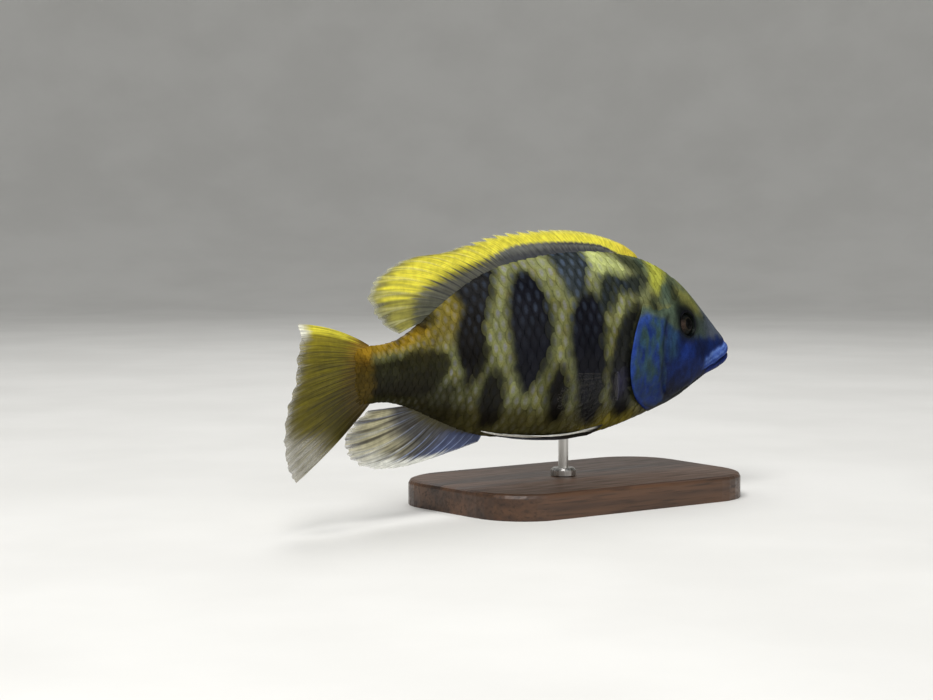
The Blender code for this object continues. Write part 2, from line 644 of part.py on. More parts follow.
def thickness(columns, rows, spines, foot_half):
    """Half thickness of a fin at each column and row: rays stand out as ridges and all thins to the tips."""
    rows = np.array(rows)
    foot_half = np.broadcast_to(foot_half, columns)
    halves = np.zeros((columns, len(rows)))
    for c in range(columns):
        crest = SPINE_HALF if c < 2 * spines else RAY_HALF
        at_root = crest if c % 2 == 0 else WEB_HALF
        thin = at_root + (TIP_HALF - at_root) * rows**6
        halves[c] = thin + (foot_half[c] - at_root) * (1 - ease(rows / FIN_FOOT_SHARE))
    return halves


def middle_fin(name, roots, tips, bows, spines, notch, sway, back, material):
    """A fin in the middle plane, whose foot follows the back or the belly."""
    rows = fin_rows(FIN_ROWS)
    gap = NODE_GAP if back else -NODE_GAP
    rays = [ray_shape(root, tip, bow, rows) for root, tip, bow in zip(roots, tips, bows)]
    flat = webbed(rays, rows, notch)
    halves = thickness(len(flat), rows, spines, FIN_FOOT_HALF)
    reach = np.array(rows)[None, :] * np.linspace(0.2, 1, len(flat))[:, None]
    middles = np.stack([flat[..., 0], sway * STANDARD_LENGTH * reach**2, flat[..., 1]], axis=-1)
    outs = np.zeros_like(middles)
    outs[..., 1] = 1.0
    foot = []
    for side in (1, 0, -1):
        edge = middles[:, 0].copy()
        edge[:, 1] = side * halves[:, 0]
        edge[:, 2] = height_on_body(edge[:, 0] / STANDARD_LENGTH, edge[:, 1], back) + gap
        foot.append(edge)
    return fin_mesh(name, middles, outs, halves, foot, material)


def make_dorsal(materials):
    count = DORSAL_SPINES + DORSAL_SOFT_RAYS
    spiny = np.linspace(DORSAL_BASE[0], DORSAL_SPINY_BASE_END, DORSAL_SPINES)
    soft = np.linspace(DORSAL_SPINY_BASE_END, DORSAL_BASE[1], DORSAL_SOFT_RAYS + 1)[1:]
    along = np.concatenate([spiny, soft])
    roots = np.column_stack([along * STANDARD_LENGTH, height_on_body(along, 0.0, True) + NODE_GAP])
    share = np.interp(np.arange(count), [0, DORSAL_SPINES - 1, count - 1], [0, DORSAL_LAST_SPINE_AT, 1])
    tips = curve_at(DORSAL_MARGIN, share) * STANDARD_LENGTH
    bows = np.interp(np.linspace(0, 1, count), [0, 0.8, 1], DORSAL_BOWS)
    notch = np.where(np.arange(count - 1) < DORSAL_SPINES, *DORSAL_NOTCHES)
    material = materials["yellow_fin"]
    middle_fin("dorsal_fin", roots, tips, bows, DORSAL_SPINES, notch, DORSAL_SWAY, True, material)


def make_anal(materials):
    count = ANAL_SPINES + ANAL_SOFT_RAYS
    along = np.linspace(*ANAL_BASE, count)
    roots = np.column_stack([along * STANDARD_LENGTH, height_on_body(along, 0.0, False) - NODE_GAP])
    tips = curve_at(ANAL_MARGIN, np.linspace(0, 1, count) ** 0.92) * STANDARD_LENGTH
    bows = np.interp(np.linspace(0, 1, count), [0, 0.6, 1], ANAL_BOWS)
    notch = np.full(count - 1, ANAL_NOTCH)
    middle_fin("anal_fin", roots, tips, bows, ANAL_SPINES, notch, ANAL_CURL, False, materials["pale_fin"])


def make_caudal(materials):
    """The tail fin, its foot against the flat end of the tail."""
    rows = fin_rows(CAUDAL_ROWS)
    share = np.linspace(0, 1, CAUDAL_RAYS)
    root_along = TAIL_END + NODE_GAP / STANDARD_LENGTH
    roots = np.column_stack([
        np.full(CAUDAL_RAYS, root_along),
        np.interp(share, [0, 1], CAUDAL_ROOT),
    ]) * STANDARD_LENGTH
    tips = curve_at(CAUDAL_MARGIN, share) * STANDARD_LENGTH
    bows = np.interp(share, [0, 0.5, 1], CAUDAL_EDGE_BOWS)
    rays = [ray_shape(root, tip, bow, rows) for root, tip, bow in zip(roots, tips, bows)]
    flat = webbed(rays, rows, np.full(CAUDAL_RAYS - 1, CAUDAL_NOTCH))
    columns = len(flat)
    foot_half = side_of_body(TAIL_END, flat[:, 0, 1]) - CAUDAL_FOOT_INSET
    halves = thickness(columns, rows, 0, np.maximum(foot_half, RAY_HALF))
    spread = np.linspace(-1, 1, columns)[:, None]
    outward = np.array(rows)[None, :] ** 2
    fold = CAUDAL_FOLD * STANDARD_LENGTH * (spread**2 - CAUDAL_FOLD_MIDDLE) * outward
    ripple = CAUDAL_RIPPLE * np.sin(np.arange(columns) * CAUDAL_RIPPLE_STEP)[:, None] * outward
    middles = np.stack([flat[..., 0], fold + ripple, flat[..., 1]], axis=-1)
    outs = np.zeros_like(middles)
    outs[..., 1] = 1.0
    fin_mesh("caudal_fin", middles, outs, halves, None, materials["yellow_fin"])


def make_pectoral(name, side, materials):
    """A side fin held a little off the flank, its foot laid on the skin behind the gill cover."""
    rows = fin_rows(FIN_ROWS)
    share = np.linspace(0, 1, PECTORAL_RAYS)
    base = np.array(PECTORAL_BASE)
    lengths = smooth(PECTORAL_LENGTHS, share) * STANDARD_LENGTH
    spreads = np.interp(share, [0, 1], PECTORAL_SPREAD)
    lift = np.interp(rows, *np.transpose(PECTORAL_LIFT))
    mid = ((lift[1:] + lift[:-1]) / 2)[:, None]
    rays = []
    for k in range(PECTORAL_RAYS):
        along, height = base[0] + (base[1] - base[0]) * share[k]
        place, normal = surface_frame(along, height, side)
        back = np.array([1.0, 0.0, 0.0]) - normal * normal[0]
        back /= np.linalg.norm(back)
        up = np.cross(back, normal)
        up *= np.sign(up[2])
        steps = np.diff(rows)[:, None] * lengths[k]
        run = back * math.cos(spreads[k]) + up * math.sin(spreads[k])
        moves = (run * np.cos(mid) + normal * np.sin(mid)) * steps
        rays.append(place + normal * NODE_GAP + np.vstack([np.zeros(3), np.cumsum(moves, axis=0)]))
    flat = webbed(rays, rows, np.full(PECTORAL_RAYS - 1, PECTORAL_NOTCH))
    halves = thickness(len(flat), rows, 0, PECTORAL_FOOT_HALF)
    lengthways = np.gradient(flat, axis=1)
    crossways = np.gradient(flat, axis=0)
    outs = np.cross(lengthways, crossways)
    outs *= side * np.sign(outs[..., 1].sum()) / np.linalg.norm(outs, axis=-1, keepdims=True)
    foot = []
    for shift in (-1, 0, 1):
        edge = flat[:, 0].copy()
        edge[:, 0] += shift * halves[:, 0]
        edge[:, 1] = side * (side_of_body(edge[:, 0] / STANDARD_LENGTH, edge[:, 2]) + PECTORAL_FOOT_GAP)
        foot.append(edge)
    fin_mesh(name, flat, outs, halves, foot, materials["clear_fin"])


def make_pelvic(name, side, materials):
    """A belly fin folded back close under the belly."""
    rows = fin_rows(FIN_ROWS)
    share = np.linspace(0, 1, PELVIC_RAYS)
    base = np.array(PELVIC_BASE)
    rays = []
    for k in range(PELVIC_RAYS):
        root = (base[0] + (base[1] - base[0]) * share[k]) * STANDARD_LENGTH
        tip = np.array(PELVIC_TIPS[k]) * STANDARD_LENGTH
        rays.append(ray_shape(root, tip, 0.0, rows))
    flat = webbed(rays, rows, np.full(PELVIC_RAYS - 1, PELVIC_NOTCH))
    halves = thickness(len(flat), rows, 1, PELVIC_FOOT_HALF)
    below = height_on_body(flat[..., 0] / STANDARD_LENGTH, flat[..., 1], False)
    spread = np.linspace(1, PELVIC_INNER_DROP, len(flat))[:, None]
    drop = NODE_GAP + halves + PELVIC_DROP * ease(np.array(rows) / PELVIC_DROP_FROM)[None, :] * spread
    middles = np.stack([flat[..., 0], side * flat[..., 1], below - drop], axis=-1)
    outs = np.zeros_like(middles)
    outs[..., 2] = 1.0
    fin_mesh(name, middles, outs, halves, None, materials["pale_fin"])


def make_stand(materials):
    """A flat base with rounded corners, and a rod in a collar up to the belly."""
    bottom = -AXIS_HEIGHT
    centre_s = BASE_CENTRE * STANDARD_LENGTH
    outline = []
    for corner, (cx, cy) in enumerate(((1, 1), (-1, 1), (-1, -1), (1, -1))):
        for k in range(BASE_CORNER_STEPS + 1):
            turn = math.radians(90 * (corner + k / BASE_CORNER_STEPS))
            x = cx * (BASE_LENGTH / 2 - BASE_CORNER) + BASE_CORNER * math.cos(turn)
            y = cy * (BASE_WIDTH / 2 - BASE_CORNER) + BASE_CORNER * math.sin(turn)
            outline.append((x, y))
    levels = (
        (0.0, 0.0), (BASE_THICKNESS - BASE_BEVEL, 0.0), (BASE_THICKNESS - BASE_EASING, BASE_EASING),
        (BASE_THICKNESS, BASE_BEVEL),
    )
    rings = []
    for height, inset in levels:
        share_x = 1 - 2 * inset / BASE_LENGTH
        share_y = 1 - 2 * inset / BASE_WIDTH
        rings.append([(centre_s - x * share_x, y * share_y, bottom + height) for x, y in outline])
    stack("stand_base", rings, materials["stand_wood"])
    rod_s = ROD_STATION * STANDARD_LENGTH
    top = float(height_on_body(ROD_STATION, 0.0, False)) - NODE_GAP
    foot = bottom + BASE_THICKNESS + NODE_GAP
    profile = (
        (foot, COLLAR_RADIUS), (foot + COLLAR_STRAIGHT, COLLAR_RADIUS),
        (foot + COLLAR_HEIGHT, COLLAR_RADIUS - COLLAR_EDGE), (foot + COLLAR_HEIGHT, ROD_RADIUS),
        (top, ROD_RADIUS),
    )
    turns = np.linspace(0, 2 * math.pi, ROD_SIDES, endpoint=False)
    rings = [[(rod_s + r * math.cos(t), r * math.sin(t), z) for t in turns] for z, r in profile]
    stack("stand_rod", rings, materials["stand_metal"])


def stack(name, rings, material):
    """A closed solid through level rings of equal count, with flat ends."""
    count = len(rings[0])
    points = [p for ring in rings for p in ring]
    faces = [tuple(range(count - 1, -1, -1)), tuple(range((len(rings) - 1) * count, len(rings) * count))]
    for i in range(len(rings) - 1):
        for j in range(count):
            k = (j + 1) % count
            faces.append((i * count + j, i * count + k, (i + 1) * count + k, (i + 1) * count + j))
    return add_mesh(name, points, faces, material)


def make_materials():
    made = {}
    for name, (colour, roughness, metallic) in MATERIALS.items():
        material = bpy.data.materials.new(name)
        material.use_nodes = True
        shader = material.node_tree.nodes["Principled BSDF"]
        shader.inputs["Base Color"].default_value = (*colour, 1.0)
        shader.inputs["Roughness"].default_value = roughness
        shader.inputs["Metallic"].default_value = metallic
        made[name] = material
    return made


def stand_over_origin(objects):
    """Parents every object to one empty, placed so that the model's box stands centred on the origin."""
    corners = np.array([v.co for obj in objects for v in obj.data.vertices])
    low, high = corners.min(0), corners.max(0)
    holder = bpy.data.objects.new("giraffe_cichlid", None)
    bpy.context.scene.collection.objects.link(holder)
    holder.location = (-(low[0] + high[0]) / 2, -(low[1] + high[1]) / 2, AXIS_HEIGHT / 1000)
    for obj in objects:
        obj.parent = holder


def main():
    for obj in list(bpy.data.objects):
        bpy.data.objects.remove(obj, do_unlink=True)
    materials = make_materials()
    make_head(materials)
    make_body(materials)
    make_dorsal(materials)
    make_anal(materials)
    make_caudal(materials)
    for side, name in ((1, "left"), (-1, "right")):
        make_pectoral("pectoral_fin_" + name, side, materials)
        make_pelvic("pelvic_fin_" + name, side, materials)
    make_stand(materials)
    stand_over_origin([obj for obj in bpy.data.objects if obj.type == "MESH"])


main()
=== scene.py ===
"""Giraffe cichlid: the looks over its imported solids.

The fish is shaped straight, in millimetres: along runs back from the snout tip, y to its left and z up
from the snout's level. Shares are shares of the standard length. An angle runs round the body from the
back, over its left side. lay() curves the fish as it swims and stands it over the base, in metres.
"""

import math
from typing import Callable, NamedTuple

import bmesh
import bpy
import numpy as np
from mathutils import Matrix, Vector


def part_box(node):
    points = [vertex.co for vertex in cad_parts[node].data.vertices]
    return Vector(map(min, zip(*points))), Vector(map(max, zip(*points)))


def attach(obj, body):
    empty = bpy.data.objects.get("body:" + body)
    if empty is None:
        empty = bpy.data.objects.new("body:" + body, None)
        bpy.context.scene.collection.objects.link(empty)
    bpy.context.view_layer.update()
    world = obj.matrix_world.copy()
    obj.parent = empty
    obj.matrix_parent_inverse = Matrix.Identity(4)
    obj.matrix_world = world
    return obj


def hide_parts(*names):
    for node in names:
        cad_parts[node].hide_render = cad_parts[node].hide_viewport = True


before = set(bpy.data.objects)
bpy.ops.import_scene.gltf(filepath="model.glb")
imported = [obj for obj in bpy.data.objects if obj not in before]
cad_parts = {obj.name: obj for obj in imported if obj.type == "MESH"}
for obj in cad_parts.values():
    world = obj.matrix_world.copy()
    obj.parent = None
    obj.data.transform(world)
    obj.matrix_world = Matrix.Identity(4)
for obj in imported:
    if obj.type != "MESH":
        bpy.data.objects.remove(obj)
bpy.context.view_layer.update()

LENGTH = 182.0
AXIS_HEIGHT = 56.0
ROD_STATION = 0.47

# Lines of the body in side view and in width, as shares of the standard length
BACK = (
    (0.0, 0.030), (0.033, 0.050), (0.060, 0.077), (0.088, 0.105), (0.115, 0.132), (0.143, 0.157),
    (0.176, 0.180), (0.214, 0.201), (0.255, 0.216), (0.313, 0.2275), (0.368, 0.2340), (0.423, 0.2355),
    (0.478, 0.2335), (0.533, 0.2285), (0.588, 0.2205), (0.643, 0.2090), (0.692, 0.1925), (0.747, 0.1660),
    (0.790, 0.1400), (0.830, 0.1130), (0.868, 0.0870), (0.912, 0.0650), (0.951, 0.0560), (1.000, 0.0540),
    (1.020, 0.0535), (1.060, 0.0580),
)
BELLY = (
    (0.0, -0.026), (0.038, -0.040), (0.077, -0.0550), (0.104, -0.0690), (0.137, -0.0870), (0.181, -0.1060),
    (0.236, -0.1250), (0.297, -0.1420), (0.346, -0.1540), (0.396, -0.1635), (0.451, -0.1670),
    (0.533, -0.1650), (0.615, -0.1600), (0.687, -0.1520), (0.764, -0.1320), (0.830, -0.1060),
    (0.885, -0.0820), (0.923, -0.0700), (0.967, -0.0640), (1.000, -0.0655), (1.020, -0.0680), (1.060, -0.0860),
)
HALF_WIDTH = (
    (0.0, 0.021), (0.02, 0.0285), (0.05, 0.038), (0.10, 0.051), (0.16, 0.065), (0.24, 0.080), (0.33, 0.090),
    (0.42, 0.092), (0.52, 0.087), (0.62, 0.074), (0.72, 0.056), (0.82, 0.038), (0.90, 0.0265),
    (0.96, 0.0195), (1.012, 0.0135), (1.030, 0.0088), (1.045, 0.0042), (1.060, 0.0024),
)
WIDEST_HEIGHT = ((0.0, 0.0), (0.10, -0.004), (0.25, 0.004), (0.45, 0.020), (0.75, 0.012), (1.02, -0.004))
BACK_ROUNDNESS = ((0.0, 2.1), (0.16, 2.0), (0.30, 1.75), (0.70, 1.65), (1.02, 1.9))
BELLY_ROUNDNESS = ((0.0, 2.0), (0.08, 1.7), (0.20, 1.75), (0.45, 1.95), (0.75, 1.8), (1.02, 1.9))
SNOUT_ROUNDING = 0.034
TAIL_END = 1.052
TAIL_CURVE = 0.018

# The curve of the swimming body, bending to its right behind the middle
BEND_START = 0.55
BEND_AT_TAIL = math.radians(13.0)
BEND_POWER = 1.5

# Gill opening: how far back the head reaches at each angle round from the back, in degrees
GILL_EDGE = (
    (0, 0.250), (25, 0.258), (45, 0.279), (60, 0.312), (76, 0.342), (92, 0.355), (114, 0.347),
    (129, 0.323), (144, 0.287), (160, 0.252), (180, 0.231),
)
GILL_STATION = 0.355
GILL_WARP_FROM, GILL_WARP_TO = 0.12, 0.52
GILL_FLAP_RISE = 0.6
GILL_SLOT_DEPTH = 0.9

# Mouth, cheek, eye and nostril in side view
MOUTH_LINE = ((-0.03, 0.009), (0.0, 0.002), (0.035, -0.011), (0.070, -0.025), (0.096, -0.037))
LIP_WIDTHS = (4.6, 3.4)
LIP_RISE = 0.45
LIP_CREASE = 0.20
MOUTH_GROOVE = 0.6
CHEEK_LINE = (
    (0.232, 0.088), (0.247, 0.052), (0.255, 0.0), (0.250, -0.052), (0.228, -0.084), (0.185, -0.092),
    (0.145, -0.074),
)
GILL_COVER_CREASE = ((0.262, -0.060), (0.290, -0.066), (0.318, -0.050), (0.335, -0.020))
CHIN_CREASE = ((0.112, -0.056), (0.132, -0.074), (0.142, -0.090))
SNOUT_CREASE = ((0.100, -0.030), (0.112, -0.004), (0.128, 0.026), (0.146, 0.040))
EYE_PLACE = (0.1685, 0.0710)
EYE_RADIUS, EYE_DEPTH, EYE_BULGE = 5.0, 3.8, 1.2
PUPIL_RADIUS = 2.3
NOSTRIL_PLACE = (0.098, 0.080)
PORES = (
    (0.128, 0.044), (0.146, 0.036), (0.168, 0.034), (0.190, 0.040), (0.205, 0.058), (0.110, 0.055),
    (0.236, 0.060), (0.243, 0.030), (0.246, 0.000), (0.242, -0.030), (0.232, -0.056), (0.205, -0.076),
    (0.170, -0.074),
)

# Scales: their spacing along and up the body, in millimetres
SPACING_ALONG = ((0.14, 2.3), (0.25, 3.1), (0.36, 4.0), (0.50, 4.4), (0.70, 4.1), (0.88, 3.3), (1.06, 2.2))
SPACING_UP = ((0.14, 2.4), (0.25, 3.2), (0.36, 4.2), (0.50, 4.7), (0.70, 4.2), (0.88, 2.8), (1.06, 2.1))
SCALE_ROWS = 16
SCALE_LIFT = 0.34
SCALE_THICKNESS = 0.09
COAT = 0.36
NAPE_LOW = ((0.150, 0.158), (0.170, 0.142), (0.215, 0.108), (0.255, 0.103), (0.345, 0.104))

# Relief of the head, in millimetres. A ridge or pit has its height or depth, its distance from a line or
# place and its width, and a groove has its line, depth and width
HEAD_RELIEF_TO = 0.30
GROOVES = (
    (CHEEK_LINE, 0.5, 0.8), (GILL_COVER_CREASE, 0.35, 0.7), (CHIN_CREASE, 0.45, 0.7), (SNOUT_CREASE, 0.4, 0.7),
)
CHEEK_SWELL = (0.22, 2.2, 1.4)
EYE_SWELL = (0.45, EYE_RADIUS + 1.3, 1.6)
SOCKET_DEPTH = 3.0
NOSTRIL_RIM = (0.25, 1.25, 0.45)
NOSTRIL_PIT = (1.1, 0.0, 0.62)
PORE_PIT = (0.3, 0.0, 0.42)

rng = np.random.default_rng(11)


def smooth(points, at):
    """Height at each place of the smooth curve through the points, which run forward in their first value."""
    xs, ys = np.array(points, float).T
    slopes = np.gradient(ys, xs)
    at = np.clip(np.asarray(at, float), xs[0], xs[-1])
    k = np.clip(np.searchsorted(xs, at, side="right") - 1, 0, len(xs) - 2)
    step = xs[k + 1] - xs[k]
    u = (at - xs[k]) / step
    lift = ys[k] * (1 + 2 * u) * (1 - u) ** 2 + ys[k + 1] * u * u * (3 - 2 * u)
    return lift + step * (slopes[k] * u * (1 - u) ** 2 + slopes[k + 1] * u * u * (u - 1))


def curve_at(points, share):
    """Places along the smooth curve through the points, at shares of its length in the side view."""
    points = np.array(points, float)
    run = np.concatenate([[0.0], np.cumsum(np.linalg.norm(np.diff(points[:, :2], axis=0), axis=1))])
    run /= run[-1]
    return np.stack([smooth(np.column_stack([run, column]), share) for column in points.T], axis=-1)


def ease(value):
    """0 below 0, 1 above 1 and smooth between."""
    value = np.clip(value, 0.0, 1.0)
    return value * value * (3 - 2 * value)


def bell(value):
    """1 at 0, falling to 0 on both sides."""
    return np.exp(-(value**2))


def ridge(distance, height, middle, width):
    """A rounded ridge of some height along a line or ring, at its distance from another one."""
    return height * bell((distance - middle) / width)


def distance_to_line(points, along, height):
    """Distance in the side view from each place to the smooth line through the points."""
    line = curve_at(points, np.linspace(0, 1, 50))
    nearest = np.full(np.shape(along), np.inf)
    for s, z in line:
        nearest = np.minimum(nearest, (along - s) ** 2 + (height - z) ** 2)
    return np.sqrt(nearest)


def body_section(along, angle):
    """(y, z) in millimetres of the plain body at a share of its length and an angle round from the back."""
    blunt = np.sqrt(1 - (1 - np.clip(along / SNOUT_ROUNDING, 0, 1)) ** 2)
    middle = smooth(WIDEST_HEIGHT, along)
    cosine, sine = np.cos(angle), np.sin(angle)
    upper = cosine >= 0
    reach = np.where(upper, smooth(BACK, along) - middle, middle - smooth(BELLY, along)) * blunt
    power = 2 / np.where(upper, smooth(BACK_ROUNDNESS, along), smooth(BELLY_ROUNDNESS, along))
    y = smooth(HALF_WIDTH, along) * blunt * np.sign(sine) * np.abs(sine) ** power
    z = middle + reach * np.sign(cosine) * np.abs(cosine) ** power
    return LENGTH * y, LENGTH * z


def height_on_body(along, y, back):
    """z in millimetres of the back or the belly, y millimetres from the middle."""
    middle = smooth(WIDEST_HEIGHT, along) * LENGTH
    edge = smooth(BACK if back else BELLY, along) * LENGTH
    power = smooth(BACK_ROUNDNESS if back else BELLY_ROUNDNESS, along)
    share = np.clip(np.abs(y) / (smooth(HALF_WIDTH, along) * LENGTH), 0, 0.999)
    return middle + (edge - middle) * (1 - share**power) ** (1 / power)


def side_of_body(along, z):
    """Distance in millimetres from the middle plane to the flank, at a height in millimetres."""
    middle = smooth(WIDEST_HEIGHT, along) * LENGTH
    upper = z >= middle
    edge = np.where(upper, smooth(BACK, along), smooth(BELLY, along)) * LENGTH
    power = np.where(upper, smooth(BACK_ROUNDNESS, along), smooth(BELLY_ROUNDNESS, along))
    share = np.clip((z - middle) / (edge - middle), 0, 0.999)
    return smooth(HALF_WIDTH, along) * LENGTH * (1 - share**power) ** (1 / power)


def surface_frame(along, z_share, side):
    """A place on the flank, with the outward normal there, both in the straight fish's millimetres."""
    z = z_share * LENGTH
    step = 0.004
    y = float(side_of_body(along, z))
    slope_s = (float(side_of_body(along + step, z)) - y) / (step * LENGTH)
    slope_z = (float(side_of_body(along, z + step * LENGTH)) - y) / (step * LENGTH)
    normal = np.array([-slope_s, 1.0, -slope_z])
    normal /= np.linalg.norm(normal)
    normal[1] *= side
    return np.array([along * LENGTH, side * y, z]), normal


def from_axis(place, points):
    """Distance of each point, on either side, from the line square to the skin at a place on the head."""
    centre, normal = surface_frame(*place, 1)
    gap = points * (1, 0, 1) + np.abs(points) * (0, 1, 0) - centre
    return np.linalg.norm(gap - (gap @ normal)[..., None] * normal, axis=-1)


def turned_from_back(angle):
    """Degrees round from the back, the same on both sides."""
    return np.degrees(np.abs((angle + math.pi) % (2 * math.pi) - math.pi))


def gill_window(angle):
    """1 where the gill opening is, 0 on the nape and under the throat."""
    turned = turned_from_back(angle)
    return ease((turned - 52) / 14) * (1 - ease((turned - 140) / 22))


def relief(points):
    """How far the lips, grooves, pores, nostrils and eye rims stand out of the plain body, in millimetres."""
    along, height = points[..., 0] / LENGTH, points[..., 2] / LENGTH
    forward = 1 - ease((along - 0.066) / 0.036)
    from_mouth = distance_to_line(MOUTH_LINE[1:], along, height) * LENGTH
    width = np.where(height > smooth(MOUTH_LINE, along), *LIP_WIDTHS) * (0.55 + 0.45 * forward)
    lips = LIP_RISE * np.sin(math.pi * np.clip(from_mouth / width, 0, 1))
    lips = (lips - ridge(from_mouth, LIP_CREASE, width + 0.4, 1.0)) * forward
    rise = lips - ridge(from_mouth, MOUTH_GROOVE, 0.0, 0.55) * (1 - ease((along - 0.086) / 0.014))
    for line, depth, half_width in GROOVES:
        rise -= ridge(distance_to_line(line, along, height) * LENGTH, depth, 0.0, half_width)
    rise += ridge(distance_to_line(CHEEK_LINE, along, height) * LENGTH, *CHEEK_SWELL)
    eye = from_axis(EYE_PLACE, points)
    rise += ridge(eye, *EYE_SWELL) - SOCKET_DEPTH * ease((EYE_RADIUS + 0.35 - eye) / 0.8)
    nostril = from_axis(NOSTRIL_PLACE, points)
    rise += ridge(nostril, *NOSTRIL_RIM) - ridge(nostril, *NOSTRIL_PIT)
    for place in PORES:
        rise -= ridge(np.hypot(along - place[0], height - place[1]) * LENGTH, *PORE_PIT)
    return rise


def gill_step(along, angle, behind):
    """How far the gill cover's edge stands out to the side, or the skin behind it lies in, in millimetres."""
    from_edge = (along - smooth(GILL_EDGE, turned_from_back(angle))) * LENGTH
    flap = GILL_FLAP_RISE * bell(from_edge / 5.0)
    slot = -GILL_SLOT_DEPTH * bell(from_edge / 3.5)
    return np.where(behind, slot, flap) * gill_window(angle)


def plain(along, angle):
    """Points of the plain body, without lips, grooves or gill step."""
    y, z = body_section(np.maximum(along, 1e-4), angle)
    return np.stack([along * LENGTH, y, z], axis=-1)


def surface(along, angle, behind, sink=0.0, step=np.nan):
    """Points of the skin, with the way out of it, at shares along the body and angles round it.

    The skin lies in by the sink. step is the sideways step at the gill opening, where it isn't the usual one.
    """
    nudge = 1e-3
    points = plain(along, angle)
    normal = np.cross(plain(along, angle + nudge) - points, plain(along + nudge, angle) - points)
    normal /= np.linalg.norm(normal, axis=-1, keepdims=True) + 1e-12
    middle = np.stack([along * LENGTH, 0 * along, smooth(WIDEST_HEIGHT, along) * LENGTH], axis=-1)
    normal *= np.sign((normal * (points - middle))[..., 1:].sum(-1))[..., None]
    rise = np.zeros(np.shape(along))
    head = along < HEAD_RELIEF_TO
    rise[head] = relief(points[head])
    points = points + normal * (rise - sink)[..., None]
    sideways = np.where(np.isnan(step), gill_step(along, angle, behind), step * gill_window(angle))
    points[..., 1] += np.sign(np.round(points[..., 1], 6)) * sideways
    return points, normal


def bend_angle(along):
    """How far the body has turned at a share along it."""
    return BEND_AT_TAIL * np.clip((along - BEND_START) / (1 - BEND_START), 0, None) ** BEND_POWER


def lay(points):
    """The straight fish's points, curved as it swims and stood over the base, in metres."""
    points = np.asarray(points, float)
    table = np.linspace(-0.1, 1.4, 1501)
    angle = bend_angle(table)
    step = (table[1] - table[0]) * LENGTH
    half = (angle[1:] + angle[:-1]) / 2
    xs = np.concatenate([[0.0], np.cumsum(-np.cos(half) * step)])
    ys = np.concatenate([[0.0], np.cumsum(-np.sin(half) * step)])
    along = points[..., 0] / LENGTH
    turn = bend_angle(along)
    x = np.interp(along, table, xs) - np.interp(ROD_STATION, table, xs) - np.sin(turn) * points[..., 1]
    y = np.interp(along, table, ys) - np.interp(0.0, table, ys) + np.cos(turn) * points[..., 1]
    low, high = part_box("stand_rod")
    rod = (np.array(low) + np.array(high)) / 2
    return np.stack([x / 1000 + rod[0], y / 1000 + rod[1], (points[..., 2] + AXIS_HEIGHT) / 1000], axis=-1)


# ---- meshes

SHARP_ANGLE = math.radians(55)


def around(count):
    """Even angles once round."""
    return np.linspace(0, 2 * math.pi, count, endpoint=False)


def face_outward(mesh):
    """Turn every face of the closed shells in a mesh to the outside."""
    shells = bmesh.new()
    shells.from_mesh(mesh)
    bmesh.ops.recalc_face_normals(shells, faces=shells.faces)
    shells.to_mesh(mesh)
    shells.free()


def add_piece(name, points, faces, material, replaced=(), colours=(), vectors=(), unwrap=None):
    """A smooth mesh piece that rides on the part, with its named colours, vectors and unwrap at its points."""
    mesh = bpy.data.meshes.new(name)
    mesh.from_pydata(lay(points.reshape(-1, 3)).tolist(), [], faces)
    face_outward(mesh)
    obj = bpy.data.objects.new(name, mesh)
    bpy.context.scene.collection.objects.link(obj)
    for key, values in dict(colours).items():
        values = np.reshape(values, (len(mesh.vertices), -1))
        full = np.ones((len(values), 4))
        full[:, : values.shape[1]] = values
        mesh.attributes.new(key, "FLOAT_COLOR", "POINT").data.foreach_set("color", full.ravel())
    for key, values in dict(vectors).items():
        mesh.attributes.new(key, "FLOAT_VECTOR", "POINT").data.foreach_set("vector", np.ravel(values))
    if unwrap is not None:
        corners = np.empty(len(mesh.loops), int)
        mesh.loops.foreach_get("vertex_index", corners)
        mesh.uv_layers.new(name="OFBake").data.foreach_set("uv", unwrap[corners].ravel())
    mesh.shade_smooth()
    mesh.set_sharp_from_angle(angle=SHARP_ANGLE)
    mesh.materials.append(material)
    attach(obj, "root")
    if replaced:
        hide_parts(*replaced)


def grid_faces(rows, columns, closed=False, start=0):
    """Quads of a grid of points numbered row by row, joined round across the columns where it is closed."""
    i, j = np.meshgrid(np.arange(rows - 1), np.arange(columns - (0 if closed else 1)), indexing="ij")
    k = (j + 1) % columns
    quads = np.stack([i * columns + j, i * columns + k, (i + 1) * columns + k, (i + 1) * columns + j], axis=-1)
    return quads.reshape(-1, 4) + start


def grid_rim(rows, columns):
    """Numbers of the points once round the rim of a grid."""
    number = np.arange(rows * columns).reshape(rows, columns)
    return np.concatenate([number[:, 0], number[-1, 1:], number[-2::-1, -1], number[0, -2:0:-1]])


def band_faces(first, second):
    """Quads between two rings of points."""
    return np.stack([first, np.roll(first, -1), np.roll(second, -1), second], axis=-1)


# ---- colours and markings

